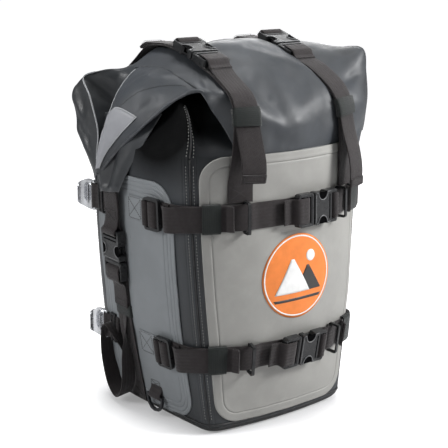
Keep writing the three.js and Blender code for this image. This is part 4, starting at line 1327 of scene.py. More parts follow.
def add_low_fold():
    grid = net_surface(LOW_FOLD, np.linspace(0, 4, 65), np.linspace(0, 4, 61))
    normals = grid_normals(grid)
    if ((grid - ROOF_CENTRE) * normals).sum() < 0:
        normals = -normals
    folds = [([(-176, -10, 405), (-188, 20, 350)], 2.6, 6),
             ([(-180, 20, 400), (-189, 34, 352)], -2.8, 6),
             ([(-182, 50, 395), (-189, 50, 350)], 2.2, 6),
             ([(-187, 12, 352), (-190, 34, 347), (-188, 58, 344)], 2.0, 3.5)]
    grid = fold(grid, normals, folds, fine=0.7) - normals * 2.0
    sheet("roof_end_left_under", grid, "shell", 1.6)


add_flap_patch()
add_low_fold()


# ---------------------------------------------------------------- straps
# A local frame is (origin, along, across, out).
def local_frame(origin, along, out):
    x = unit(along)
    out = np.asarray(out, float)
    z = unit(out - x * (out @ x))
    return np.asarray(origin, float), x, np.cross(z, x), z


def frame_point(f, s, t, n):
    return f[0] + f[1] * s + f[2] * t + f[3] * n


def body_frame(u, z):
    """Point, tangent round the body and outward direction."""
    return (surface_point(u, z), unit(surface_point(u + 1e-3, z) - surface_point(u - 1e-3, z)),
            outward_at(u, z))


def frame_ribbon(f, path, w=37, back=False):
    """Webbing through (along, out) points of a frame; back turns its upper face round."""
    return ribbon([frame_point(f, s, 0, n) for s, n in path], f[2] * (1 if back else -1),
                  w, step=1.6)


def on_frame(f, n):
    return lambda s, t: (frame_point(f, s, t, n), f[3])


def on_side(sign, off):
    return lambda y, z: (surface_point(side_u(y, z, sign), z, off),
                         outward_at(side_u(y, z, sign), z))


FRAMES = {}        # buckle frames by kind and place
STRETCH = []       # webbing that gives way: object, two bodies, two end points

# Webbing round the bars of a buckle's plug and socket: along, out
PLUG_WRAP = [(-10.5, 0.6), (-10.8, 6), (-12.5, 10.1), (-17, 10.8), (-23, 10.7)]
SOCKET_WRAP = [(38.0, 1.5), (38.3, 7), (39.8, 11.2), (43, 12.3)]

# Compression straps round the front; keeper distances are from the middle plane
LEVELS = {
    "upper": dict(z=UPPER_Z, buckle_x=22.0, ring_x=85.0, keepers={"left": 131, "right": 127}),
    "lower": dict(z=LOWER_Z, buckle_x=3.0, ring_x=76.0, keepers={"left": 121, "right": 121}),
}
# Webbing through a ladder lock on the left side: along, out
LOCK_SPAN = 32
LOCK_FRONT = [(44, -3.9), (34, -3.6), (28.5, -2.2), (25.0, 1.5), (22, 5.6), (18.5, 6.6),
              (14, 6.6), (11.6, 5.0), (10.2, 0.5), (9.5, -3.6)]
LOCK_REAR = [(-9, -2.4), (-5, 0.2), (-2.4, 4.6), (0.6, 6.7), (4.0, 6.3), (6.0, 3.4),
             (6.6, -1.5)]


def compression_strap(level, z, buckle_x, ring_x, keepers):
    point, along, out = body_frame(front_u(buckle_x + 7, z), z)
    f = local_frame(point + out * (BUCKLE_OFF + 0.6) - along * 7, along, out)
    FRAMES["comp", level] = f
    plug = "comp_plug_" + level

    def over_ring(x):
        """The strap rises over the ring."""
        return STRAP_OFF + 3.9 * ease(20, 6, abs(x))

    us = np.linspace(3.775, 4 + front_u(buckle_x - 10, z), 40)
    offs = over_ring(front_x(us - 4, z) + ring_x) - 0.5 * bell(us, 4.0, 0.05)
    put("strap_%s_left" % level, body_ribbon(us, z, offs), "web",
        replaces="comp_strap_left_" + level)
    path = PLUG_WRAP + [(-30, 10.4), (-33.5, 7.5), (-35.5, 3.0), (-40, 0.4), (-52, 0.0)]
    put("plug_web_" + level, frame_ribbon(f, path, back=True), "web", body=plug)
    stitch_box(on_frame(f, 2.05), -50.5, -41.5, -16, 16, body=plug, cross=False)
    us = np.linspace(front_u(buckle_x + 24, z), 1.325, 40)
    put("strap_%s_right" % level, body_ribbon(us, z, over_ring(front_x(us, z) - ring_x)),
        "web", replaces="comp_strap_right_" + level)
    path = SOCKET_WRAP + [(46.2, 11.5), (48.5, 7), (51, 2.6), (55, 0.2), (60, -0.5)]
    put("socket_web_" + level, frame_ribbon(f, path), "web")
    for side, sign in SIDES:
        us = [front_u(sign * keepers[side] + k, z) for k in (-12, -4, 4, 12)]
        band = body_ribbon(us, z, 3.3, profile=keeper_profile(4.4, drop=2.0), step=2)
        put("keeper_%s_%s" % (level, side), band, "elastic")
        ladder_lock(level, side, sign, z)


def ladder_lock(level, side, sign, z):
    """Webbing through one ladder lock and the sewn tab behind it."""
    left = sign < 0
    u = -0.25 if left else 1.25
    point, along, out = body_frame(u, z)
    f = local_frame(point + out * (BUCKLE_OFF + 0.9) - along * (LOCK_SPAN / 2), along, out)

    def mirrored(path):
        return path if left else [(LOCK_SPAN - s, n) for s, n in path]

    put("lock_web_front_%s_%s" % (level, side),
        frame_ribbon(f, mirrored(LOCK_FRONT), back=left), "web")
    put("lock_web_rear_%s_%s" % (level, side),
        frame_ribbon(f, mirrored(LOCK_REAR), w=36, back=not left), "web")
    far, near = u + sign * 0.255, u + sign * 0.055
    put("lock_tab_%s_%s" % (level, side),
        body_ribbon(np.linspace(min(far, near), max(far, near), 8), z, 2.35, w=35, t=1.5),
        "side")
    y_far, y_near = [surface_point(v, z)[1] for v in (far, near)]
    step = 3.2 * np.sign(y_near - y_far)
    stitch_box(on_side(sign, 4.0), y_far + step * 0.6, y_far + step * 9.6,
               z - 15.5, z + 15.5)


for level, spec in LEVELS.items():
    compression_strap(level, **spec)

# Top straps over the closure. tail is the loose outer layer in front: place from buckle x (0)
# to foot x (1), y, z.
TOP = {
    "left": dict(buckle=(-80, -56, 534.5), foot_x=-92, rear_x=-95, y_shift=0, keeper_z=464,
                 rear_tail=104.0,
                 tail=[(0.22, -112, 513), (0.42, -147.5, 492.8), (0.56, -162.6, 470),
                       (0.62, -164.8, 453), (0.68, -172.0, 430), (0.70, -179.5, 406),
                       (0.72, -181, 388), (0.72, -178.5, 375)]),
    "right": dict(buckle=(86, -44, 537.5), foot_x=108, rear_x=98, y_shift=7, keeper_z=463,
                  rear_tail=92.0,
                  tail=[(0.22, -107.5, 515), (0.42, -140.6, 492.8), (0.58, -155.6, 470),
                        (0.66, -158.0, 452), (0.80, -163.0, 424), (0.92, -170.5, 398),
                        (0.98, -175, 372), (1.0, -174, 346)]),
}
TOP_TILT = 0.31
TOP_ALONG = (0, math.cos(TOP_TILT), math.sin(TOP_TILT))
TOP_OUT = (0, -math.sin(TOP_TILT), math.cos(TOP_TILT))
# Inner layer in front: place, y, share of y_shift, z
TOP_FRONT = [(0.25, -114, 0.5, 509), (0.45, -146, 1, 490), (0.6, -160, 1, 468),
             (0.72, -162.5, 1, 440), (0.84, -161, 1, 410)]
# Rear strap over the roof: place from buckle x (0) to rear x (1), y, z
TOP_REAR = [(0.08, 12, 549.6), (0.15, 40, 549.3), (0.2, 53.6, 547.2), (0.25, 66.4, 539),
            (0.35, 82.6, 525.6), (0.45, 104.3, 508.3), (0.6, 121.5, 485.8),
            (0.7, 130.2, 463.3), (0.8, 134.2, 440)]
# and down the rear wall, folded round the D-ring: place, z where the wall is taken,
# distance from it, z
TOP_REAR_WALL = [(0.93, 404, 6.0, 404), (1, 380, 5.4, 380), (1, 352, 5.0, 352),
                 (1, 341, 6.2, 341.6), (1, 339, 7.6, 337.2), (1, 339, 9.4, 336.4),
                 (1, 339, 11.6, 337.4), (1, 339, 12.3, 340.6), (1, 345, 11.0, 346),
                 (1, 352, 7.6, 353), (1, 362, 6.2, 361), (1, 372, 5.6, 374)]


def front_across(P):
    """Width direction that follows the bulge of the front, flattening over the roof."""
    slope = -2 * 38 * P[:, 0] / 158 ** 2 * (1 - ease(440, 530, P[:, 2]))
    return unit(np.stack([-np.ones(len(P)), slope, np.zeros(len(P))], -1))


def top_strap_front(side, f, place_x, foot_x, y_shift, keeper_z, tail):
    x = place_x(0.94)
    path = np.array(
        [frame_point(f, -12, 0, -4.0), frame_point(f, -30, 0, -5.4)]
        + [(place_x(k), y + y_shift * share, z) for k, y, share, z in TOP_FRONT]
        + [(x, front_y(x, 380) - 4.4, 380), (foot_x, front_y(foot_x, 366) - 3.2, 366),
           (foot_x, front_y(foot_x, 345) - 3.0, 345)])
    across = front_across(path)
    raised = path + unit(np.cross(across, tangents(path))) * 0.4
    put("top_front_" + side, ribbon(raised, across), "web",
        replaces="top_strap_front_" + side)
    outer = np.array([frame_point(f, -34, 0, 3.2), frame_point(f, -42, 0, 0.6)]
                     + [(place_x(k), y, z) for k, y, z in tail])
    outer_across = front_across(outer)
    obj = put("top_tail_" + side, ribbon(outer, outer_across, w=36.5, t=2.0), "web")
    STRETCH.append((obj, "top_plug_" + side, "bag", frame_point(f, -44, 0, 0),
                    (place_x(0.5), -152, 482)))
    # folded, sewn end of the tail
    tip, along = outer[-1], tangents(outer)[-1]
    out = unit(np.cross(outer_across[-1], along))
    put("top_tail_end_" + side,
        ribbon([tip - along * 13 + out * 2.0, tip - along * 1.5 + out * 2.0],
               outer_across[-1], w=36.5, t=1.8, step=2), "web")
    stitch_box(on_frame(local_frame(tip - along * 7 + out * 4.1, along, out), 0.0),
               -4.5, 4.0, -15.5, 15.5, cross=False)
    # keeper round both layers
    i = int(np.argmin(abs(resample(np.hstack([path, across]), 2)[0][:, 2] - keeper_z)))
    part = resample(np.hstack([raised, across]), 2)[0][i - 6:i + 7]
    put("top_keeper_" + side,
        ribbon(part[:, :3], part[:, 3:], step=2, profile=keeper_profile(5.2, drop=0.8, t=1.8)),
        "elastic")
    path = PLUG_WRAP + [(-30, 10.3), (-33.5, 8.0), (-37, 4.6), (-43, 2.6)]
    put("plug_web_top_" + side, frame_ribbon(f, path, back=True), "web",
        body="top_plug_" + side)
    foot_out = outward_at(front_u(foot_x, 355.0), 355.0)
    stitch_box(lambda s, z: (surface_point(front_u(foot_x + s, 355.0), z, 5.2), foot_out),
               -15, 15, 348, 368)


def top_strap_rear(side, f, buckle_x, rear_x, rear_tail):
    path = [(37.5, 3.0), (38.2, 8.0), (40.2, 11.4), (43.5, 12.3), (46.6, 11.2), (48.6, 7.4),
            (51.5, 3.2)]
    put("socket_web_top_" + side, frame_ribbon(f, path), "web")

    def place_x(k):
        return buckle_x + (rear_x - buckle_x) * k

    path = ([frame_point(f, 28, 0, -2.6), frame_point(f, 42, 0, -2.2)]
            + [(place_x(k), y, z) for k, y, z in TOP_REAR]
            + [(place_x(k), rear_y(rear_x, wall_z) + off, z)
               for k, wall_z, off, z in TOP_REAR_WALL])
    left = np.array([-1.0, 0, 0])
    put("top_rear_" + side, ribbon(path, left, step=2.2), "web",
        replaces="top_strap_rear_" + side)
    # spare end: out of the socket, back along the strap to a folded tab
    P, run = resample(path, 2.0)
    along = tangents(P)
    out = -unit(np.cross(left, along))
    first, last = [int(np.argmin(abs(run - s))) for s in (25.0, rear_tail)]
    lift = 2.3 + 3.4 * ease(rear_tail - 34, rear_tail, run[first:last])
    raised = P[first:last] + out[first:last] * lift[:, None]
    put("top_rear_tail_" + side, ribbon(raised, left, w=36.5, step=2.2), "web")
    put("top_rear_tail_end_" + side,
        ribbon(raised[-9:] + out[last - 9:last] * 2.0, left, w=36.5, t=1.8, step=2), "web")
    k = last - 5
    end = local_frame(P[k] + out[k] * (lift[-5] + 4.1), along[k], out[k])
    stitch_box(on_frame(end, 0.0), -5.0, 5.0, -15.5, 15.5, cross=False)
    y = rear_y(rear_x, 365) + 8.0
    stitch_box(lambda s, z: (np.array([rear_x + s, y + (0.5 if z < 360 else 0), z]),
                             (0, 1.0, 0)), -15, 15, 357, 372)


for side, spec in TOP.items():
    buckle_x = spec["buckle"][0]
    foot_x = spec["foot_x"]
    f = local_frame(spec["buckle"], TOP_ALONG, TOP_OUT)
    FRAMES["top", side] = f
    top_strap_front(side, f, lambda k: buckle_x + (foot_x - buckle_x) * k, foot_x,
                    spec["y_shift"], spec["keeper_z"], spec["tail"])
    top_strap_rear(side, f, buckle_x, spec["rear_x"], spec["rear_tail"])


def side_strap(side, sign):
    """Base to plug, and socket up to the folded end of the closure."""
    y = SIDE_STRAP_Y
    point, _, out = body_frame(side_u(y, SIDE_BUCKLE_Z, sign), SIDE_BUCKLE_Z)
    up = (surface_point(side_u(y, 280, sign), 280)
          - surface_point(side_u(y, 205, sign), 205))
    f = local_frame(point + out * (BUCKLE_OFF + 0.7), up, out)
    FRAMES["side", side] = f
    plug = "side_plug_" + side
    zs = np.array([12, 24, 50, 80, 110, 140, 165, 190, 212, 226])
    put("side_" + side,
        body_ribbon(side_u(y, zs, sign), zs, [3.0, 3.1] + [3.3] * 8, vertical=True), "web",
        replaces="side_strap_" + side)
    path = PLUG_WRAP + [(-30, 10.4), (-33.5, 7.5), (-36, 3.0), (-42, 0.0), (-60, -0.6),
                        (-74, -0.4)]
    put("plug_web_side_" + side, frame_ribbon(f, path, back=True), "web", body=plug)
    stitch_box(on_frame(f, 1.7), -73, -64, -15, 15, body=plug, cross=False)
    path = SOCKET_WRAP + [(46.5, 11.3), (50, 7.8), (60, 4.6), (76, 3.2), (96, 3.4), (112, 5.0)]
    put("side_web_" + side, frame_ribbon(f, path), "web")
    path = [(39, -1.2), (47, -0.8), (52, 1.8), (62, 2.2), (78, 1.0), (98, 1.2), (112, 2.6)]
    put("side_web_under_" + side, frame_ribbon(f, path, w=36.5), "web")
    stitch_box(on_frame(f, 6.6), 58, 76, -15, 15)
    zs = np.array([150, 156, 162, 168])
    put("side_keeper_" + side,
        body_ribbon(side_u(y, zs, sign), zs, 3.3, vertical=True, step=2,
                    profile=keeper_profile(2.0)), "elastic")
    stitch_box(on_side(sign, 5.5), y - 15, y + 15, 17, 42)


def dring_loop(side, sign):
    wall = side_x(DRING_Y, 30.0, sign)
    # distance from the wall, z
    loop = [(4.6, 58), (4.6, 40), (5.4, 32), (7.0, 27.6), (8.6, 27.0), (10.6, 27.6),
            (11.3, 31), (10.4, 36), (7.4, 42), (6.2, 50), (6.0, 58)]
    put("dring_web_" + side,
        ribbon([(sign * (wall + off), DRING_Y, z) for off, z in loop], (0, -sign, 0),
               w=28, step=1.6), "web")
    stitch_box(lambda y, z: (np.array([sign * (wall + 8.2), DRING_Y + y, z]),
                             (sign, 0, 0)), -11, 11, 45, 56)


def hook_web(side, sign, level, z):
    """Webbing loop that holds a rack hook."""
    end = side_x(93, z, sign)

    def wall(y, off):
        return side_x(y, z, sign) + off

    loop = [(wall(60, 4.5), 60), (wall(78, 4.5), 78), (wall(88, 5.3), 88), (end + 6.9, 94.5),
            (end + 7.0, 97.2), (end + 8.6, 98.2), (end + 10.8, 97.4), (end + 11.2, 94),
            (wall(88, 8.4), 88), (wall(80, 6.4), 79), (wall(60, 4.7), 60)]
    name = "%s_%s" % (side, level)
    obj = put("hook_web_" + name,
              ribbon([(sign * x, y, z) for x, y in loop], (0, 0, sign), w=37, step=1.6),
              "web", replaces="hook_strap_" + name)
    x = sign * (end + 7)
    STRETCH.append((obj, "bag", "hook_" + name, (x, 84.0, z), (x, 95.0, z)))
    stitch_box(lambda a, b: (np.array([sign * wall(a, 6.9), a, b]), (sign, 0, 0)),
               62, 80, z - 15, z + 15)


for side, sign in SIDES:
    side_strap(side, sign)
    dring_loop(side, sign)
    for level, spec in LEVELS.items():
        hook_web(side, sign, level, spec["z"])

# ---------------------------------------------------------------- rack hooks
# Bent plate, in order from its front end: distance towards the rear, distance outwards
HOOK_PROFILE = np.array([(-0.6, 1.5), (3.4, 1.5), (8.2, 1.5), (15, 1.5), (18.2, 1.6),
                         (23, 2.2), (27, 3.8), (30, 7.0), (30.8, 10.6), (29.0, 13.6),
                         (25.6, 14.6)])
# Half height of the plate by length along it
HOOK_LENGTHS = [0, 1.5, 4, 16, 22, 28, 34, 40, 44]
HOOK_HALF_HEIGHTS = [20.2, 22.4, 23.2, 23.2, 22.4, 20.6, 17.6, 13.0, 9.0]
WEB_SLOT, SLIT = 0.855, 0.6      # openings, as parts of the half height
HOOK_ACROSS = np.array([-1, -0.93, -WEB_SLOT, -0.78, -SLIT, -0.4, -0.2, 0,
                        0.2, 0.4, SLIT, 0.78, WEB_SLOT, 0.93, 1.0])


def hook_plate(side, sign, level, z):
    steps = np.linalg.norm(np.diff(HOOK_PROFILE, axis=0), axis=1)
    run = np.r_[0, np.cumsum(steps)]
    marks = sorted({*run[:5], *np.linspace(run[4], run[-1], 14), *np.linspace(0, run[1], 3),
                    *np.linspace(run[2], run[3], 4)})
    curve, s = resample(HOOK_PROFILE, 0.5)
    s = s * run[-1] / s[-1]
    wall = side_x(93, z, sign)
    verts = []
    for mark in marks:
        back, out = [np.interp(mark, s, column) for column in curve.T]
        half = np.interp(mark, HOOK_LENGTHS, HOOK_HALF_HEIGHTS)
        verts += [(sign * (wall + 7.6 + out), 93.0 + back, z + half * t) for t in HOOK_ACROSS]
    n = len(HOOK_ACROSS)
    faces = []
    for i in range(len(marks) - 1):
        middle = 0.5 * (marks[i] + marks[i + 1])
        for k in range(n - 1):
            t = abs(0.5 * (HOOK_ACROSS[k] + HOOK_ACROSS[k + 1]))
            in_web_slot = run[1] < middle < run[2] and t < WEB_SLOT
            in_slit = run[3] < middle < run[4] and t < SLIT
            if not in_web_slot and not in_slit:
                a = i * n + k
                faces.append((a, a + 1, a + n + 1, a + n))
    name = "%s_%s" % (side, level)
    obj = add_object("hook_plate_" + name, verts, faces, "alu")
    modify(obj, "SOLIDIFY", thickness=2.8 * MM, offset=0.0)
    modify(obj, "BEVEL", width=0.75 * MM, segments=3, limit_method="ANGLE",
           angle_limit=math.radians(40))
    modify(obj, "WEIGHTED_NORMAL", keep_sharp=False, weight=60)
    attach(obj, "hook_" + name)
    assign(obj, "alu", replaces="hook_" + name)


def hook_slider(side, sign, level, z):
    """Webbing slider in front of a hook: two upright bars and two ends."""
    for bar, y in (("a", 69.6), ("b", 79.2)):
        path = [(sign * (side_x(y, z, sign) + 7.6 + 1.2 * (1 - t * t)), y, z + 20.0 * t)
                for t in np.linspace(-1, 1, 9)]
        put("hook_slider_%s_%s_%s" % (bar, side, level), tube(path, 1.75, 10), "plastic")
    for end, t in (("low", -1), ("top", 1)):
        path = [(sign * (side_x(y, z, sign) + (7.2 if y < 82 else 5.6)), y, z + 21.0 * t)
                for y in np.linspace(67, 82, 9)]
        put("hook_slider_end_%s_%s_%s" % (end, side, level), tube(path, 2.1, 10), "plastic")


for side, sign in SIDES:
    for level, spec in LEVELS.items():
        hook_plate(side, sign, level, spec["z"])
        hook_slider(side, sign, level, spec["z"])


# ---------------------------------------------------------------- loose strap ends
def strap_tail(level, side, sign, z, x):
    """Outer layer of a compression strap: out of the lock, round the corner, through the
    keeper at x. Stations are given for the right side; the left mirrors them."""
    name = "%s_%s" % (level, side)
    tip = x - 27

    def placed(us):
        us = np.array(us)
        return us if sign > 0 else 5 - us

    us = [1.158, 1.145, 1.115, 1.075, 1.03, 1 - (1 - front_u(x + 14, z)) * 0.6]
    us += [front_u(a, z) for a in (x + 12, x, x - 12, x - 20, tip)]
    rise = np.array([-2.5, -2.5, -2.5, -1.5, -0.5, 0, 0, 0, 0, 0, 0.5])
    offs = [9.0, 12.2, 12.6, 9.0, 6.6, 5.8, 5.5, 5.5, 5.5, 8.2, 15.5]
    put("strap_tail_" + name, body_ribbon(placed(us), z + rise, offs, w=37, t=2.0), "web")
    # folded and sewn end
    us = [front_u(tip + 8, z), front_u(tip + 0.5, z)]
    put("strap_tail_end_" + name,
        body_ribbon(placed(us), z + 0.3, [10.6, 17.6], w=36.5, step=1.5), "web")
    # inner side of the fold back at the lock
    rise = np.array([-2.5, -2.3, -1.5, -0.8, 0])
    put("strap_fold_" + name,
        body_ribbon(placed([1.158, 1.164, 1.158, 1.142, 1.12]), z + rise,
                    [11.6, 9.0, 6.2, 5.6, 5.4], w=37, step=1.2), "web")


for level, spec in LEVELS.items():
    for side, sign in SIDES:
        strap_tail(level, side, sign, spec["z"], spec["keepers"][side])

# Spare length of the left side strap, looped low on the side: y, z, distance from the wall
SIDE_TAIL = [(35, 150, 6.5), (36, 120, 9), (30, 88, 15), (33, 52, 19), (48, 24, 20),
             (68, 15, 18), (88, 30, 15), (97, 66, 12), (93, 102, 10), (80, 126, 9),
             (64, 116, 9), (50, 96, 9.5), (43, 78, 10)]


def add_side_tail():
    path, across = [], []
    for i, (y, z, off) in enumerate(SIDE_TAIL):
        u = side_u(y, z, -1)
        turn = ease(0, 3, i) * (1 - 0.75 * ease(8, 12, i))
        path.append(surface_point(u, z, off))
        across.append(unit(outward_at(u, z) * (0.25 + 0.9 * turn)
                           + np.array([0, -1.0, 0.15]) * (1 - turn) * 0.9))
    obj = put("side_tail_left", ribbon(path, across, w=25, t=1.6, step=2.5), "web")
    start = path[0]
    STRETCH.append((obj, "side_plug_left", "bag", start - np.array([0, 0, 4.0]),
                    start - np.array([0, 0, 92.0])))


add_side_tail()


# ---------------------------------------------------------------- buckle details
def buckle_plate(name, f, points, bottom, top, mat, bevel, body="bag"):
    """A plate in a buckle's frame: outline along and across, between two heights."""
    extruded(name, [frame_point(f, a, b, bottom) for a, b in points], f[3] * (top - bottom),
             mat, bevel, segments=2, body=body)


def buckle_detail(kind, place, f):
    tag = "%s_%s" % (kind, place)
    plug = "%s_plug_%s" % (kind, place)
    # the socket's wells and slot are painted shade: near-black, nearly unreflective plastic in the openings
    for sign, letter in ((-1, "a"), (1, "b")):
        arc = [(16.0 + 9.6 * math.cos(a), sign * (23.0 - 11.5 * math.sin(a)))
               for a in np.linspace(0, math.pi, 17)]
        buckle_plate("socket_well_%s_%s" % (tag, letter), f, arc, 10.9, 11.55, "pit",
                     bevel=0.15)
        rim = [frame_point(f, a, b, 11.9) for a, b in arc]
        # light grey rims along the arcs, and the lips and edge below, are painted highlights on the black
        # plastic
        put("socket_arc_%s_%s" % (tag, letter), tube(resample(rim, 1.0)[0], 0.85, 8), "bright")
    for letter, low, high in (("a", -22.8, -21.8), ("b", 21.8, 22.8)):
        for end, s0, s1 in (("n", 3.0, 6.0), ("f", 26.0, 32.5)):
            buckle_plate("socket_lip_%s_%s%s" % (tag, letter, end), f,
                         rounded_rect(s0, s1, low, high, 0.4, 3), 11.2, 12.0, "bright",
                         bevel=0.3)
    buckle_plate("socket_edge_" + tag, f, rounded_rect(1.8, 2.9, -20.5, 20.5, 0.5, 3),
                 11.2, 12.0, "bright", bevel=0.3)
    buckle_plate("socket_slot_" + tag, f, rounded_rect(29.6, 31.8, -18.5, 18.5, 0.9, 3),
                 11.15, 11.6, "pit", bevel=0.1)
    buckle_plate("plug_rim_" + tag, f, rounded_rect(-5.6, -1.4, -21, 21, 1.6, 5),
                 9.7, 10.8, "plastic", bevel=0.5, body=plug)
    for letter, low, high in (("a", -23.2, -20.6), ("b", 20.6, 23.2)):
        buckle_plate("plug_rail_%s_%s" % (tag, letter), f,
                     rounded_rect(-28, -6, low, high, 0.9, 3), 9.7, 10.6, "plastic",
                     bevel=0.35, body=plug)


for (kind, place), f in FRAMES.items():
    buckle_detail(kind, place, f)

# ---------------------------------------------------------------- seams, piping and base
SEAM_THREAD = dict(mat="thread_l", pitch=4.6, length=2.5, r=0.36)

for corner in range(4):
    zs = np.arange(10, 409, 6.0)
    path = surface(np.full_like(zs, corner), zs, 0.35)
    put("piping_%d" % corner, tube(path, 1.25, 8), "rubber", slot="coated_fabric")
    for sign, wall in ((-1, corner - 1), (1, corner)):
        zs = np.arange(22, 404, 7.0)
        u = corner + sign * 5.6 / (2 * half_length(wall, zs))
        stitch_run(surface(u, zs, 0.95), outward(u, zs), **SEAM_THREAD)

# the corner seams carry on up the collar, each to its own level
for corner, top_level in enumerate((2.7, 1.5, 2.5, 1.5)):
    levels = np.linspace(0.0, top_level, 26)
    path = np.array([collar_points(np.array([float(corner)]), v)[0] for v in levels])
    away = unit(path * np.array([1, 1, 0]))
    put("piping_top_%d" % corner, tube(path + away * 0.4, 1.25, 8), "rubber",
        slot="coated_fabric")
    if corner == 0:
        for u in (4 - 0.019, 0.019):
            path = np.array([collar_points(np.array([u]), v)[0] for v in levels])
            stitch_run(path + away * 1.3, away, **SEAM_THREAD)

# stitched line across the front flap towards the crease
cells = [(int((3.2 + 2.6 * q) * END_ROWS), int((0.62 - 0.50 * q) * (flap.shape[1] - 1)))
         for q in np.linspace(0, 1, 30)]
line_out = np.array([flap_out[cell] for cell in cells])
stitch_run(np.array([flap[cell] for cell in cells]) + line_out * 0.2, line_out)

base_us = np.linspace(0, 4, 201)[:-1]
put("base_welt", tube(surface(base_us, 15.0, 0.9), 1.6, 8, closed=True), "rubber")
rings = []
# z and offset of each ring of the base
for z, off in ((0.0, -3.2), (0.0, -1.0), (0.8, 0.2), (2.2, 0.9), (5.0, 1.2), (9.0, 1.2),
               (10.2, 0.9), (10.8, 0.2)):
    ring = surface(base_us, max(z, 0.3), off)
    ring[:, 2] = z
    rings.append(ring)
put("base_boot", (np.concatenate(rings), loft_faces(len(base_us), len(rings))), "rubber",
    replaces="base_panel", sharp=55)

# stiffener bar inside the roll: (y, height) section swept along x, arched in the middle
BAR_SECTION = ((-3, -1.0), (-3, 1.0), (14, 1.6), (31, 1.0), (31, -1.0), (14, -0.4))
bar = [(x, y, 531.5 - 5.0 * (x / 110) ** 2 + rise)
       for x in np.linspace(-98, 108, 24) for y, rise in BAR_SECTION]
put("roll_bar_inside", (bar, loft_faces(len(BAR_SECTION), 24)), "board",
    replaces="roll_stiffener")

# ---------------------------------------------------------------- printed badge: peaks and sun
PRINT_THICKNESS = 0.35


def printed_ring(name, cx, cz, r0, r1, off, mat, n=96, rings=7):
    """A disc or ring laid over the front."""
    verts = []
    angle = np.linspace(0, 2 * math.pi, n, endpoint=False)
    for r in np.linspace(r0, r1, rings):
        x, z = cx + r * np.cos(angle), cz + r * np.sin(angle)
        u = front_u(x, z)
        verts.append(surface(u, z, off + softness(u, z)))
    obj = add_object(name, np.concatenate(verts), grid_faces(n, rings, wrap=True), mat)
    # the innermost ring of a disc is one point
    bm = bmesh.new()
    bm.from_mesh(obj.data)
    bmesh.ops.remove_doubles(bm, verts=bm.verts, dist=1e-6)
    bm.to_mesh(obj.data)
    bm.free()
    thicken(obj, PRINT_THICKNESS)
    assign(obj, mat)


def printed_polygon(name, points, off, mat):
    """A shape laid over the front, split until no edge is longer than 5 mm or five times."""
    bm = bmesh.new()
    bm.faces.new([bm.verts.new((BADGE_X + x, 0, BADGE_Z + z)) for x, z in points])
    bmesh.ops.triangulate(bm, faces=bm.faces[:])
    for _ in range(5):
        long_edges = [edge for edge in bm.edges if edge.calc_length() > 5.0]
        if not long_edges:
            break
        bmesh.ops.subdivide_edges(bm, edges=long_edges, cuts=1)
        bmesh.ops.triangulate(bm, faces=[face for face in bm.faces if len(face.verts) > 3])
    x = np.array([v.co.x for v in bm.verts])
    z = np.array([v.co.z for v in bm.verts])
    bm.verts.index_update()
    faces = [tuple(v.index for v in face.verts) for face in bm.faces]
    bm.free()
    u = front_u(x, z)
    obj = add_object(name, surface(u, z, off + softness(u, z)), faces, mat)
    thicken(obj, PRINT_THICKNESS)
    assign(obj, mat)


printed_ring("badge_base", BADGE_X, BADGE_Z, 0.0, BADGE_RADIUS, 2.75, "orange", rings=12)
printed_ring("badge_rim", BADGE_X, BADGE_Z, BADGE_RADIUS - 4.6, BADGE_RADIUS - 2.6, 3.0,
             "white", rings=3)
printed_polygon("badge_peak_rear", [(-8, -24), (16, 14), (20, 14), (44, -24)], 3.0, "dark")
printed_polygon("badge_peak_front", [(-42, -24), (-13, 26), (-8, 26), (21, -24)], 3.25,
                "white")
printed_ring("badge_sun", BADGE_X + 24, BADGE_Z + 27, 0.0, 8.5, 3.0, "white", n=48, rings=4)
printed_polygon("badge_ground", [(-44, -32), (-41, -36), (41, -36), (44, -32)], 3.0, "dark")


# ---------------------------------------------------------------- carry handle on the rear
def add_handle():
    y = rear_y(60, 340) + 13
    half = [(18, 4, 299), (44, 3, 306), (60, 1, 322), (63.5, 0, 336), (64, 0, 344)]
    path, s = resample([(-x, y + dy, z) for x, dy, z in half[::-1]]
                       + [(x, y + dy, z) for x, dy, z in half], 2.2)
    to_end = np.minimum(s, s[-1] - s)
    # thinner at the ends, ribbed in the middle
    radii = (8.3 * (0.55 + 0.45 * ease(0, 9, to_end))
             + 0.35 * np.sin(s * 2 * math.pi / 6.6) * ease(18, 26, to_end))
    put("handle_grip", tube(path, radii, 20), "rubber", body="carry_handle",
        replaces="carry_handle", slot="handle_rubber", sharp=70)
    for side, sign in SIDES:
        x = 61.5 * sign
        wall = rear_y(x, 345)
        loop = [(wall + 4.6, 392), (wall + 4.6, 372), (wall + 4.7, 358), (wall + 5.6, 349),
                (y - 5.4, 341.4), (y - 0.5, 337.6), (y + 4.6, 339.4), (y + 6.8, 344.6),
                (y + 4.4, 350.4), (wall + 11.0, 356.6), (wall + 8.0, 364), (wall + 6.6, 374),
                (wall + 6.2, 392)]
        put("handle_tab_" + side,
            ribbon([(x, a, z) for a, z in loop], (-1.0, 0, 0), w=21, step=2), "web")
        stitch_box(lambda a, z: (np.array([x + a, wall + 8.1, z]), (0, 1.0, 0)),
                   -8, 8, 370, 390)


add_handle()

# ---------------------------------------------------------------- rub pad on the rear
PAD_Y = rear_y(0, 110)


def rear_slab(name, points, off, thickness, mat, bevel, replaces="", slot=None):
    """A plate on the rear: outline in x and z, outer face at off from the wall."""
    extruded(name, [(x, PAD_Y + off, z) for x, z in points], (0, -thickness, 0), mat, bevel,
             segments=3, replaces=replaces, slot=slot)


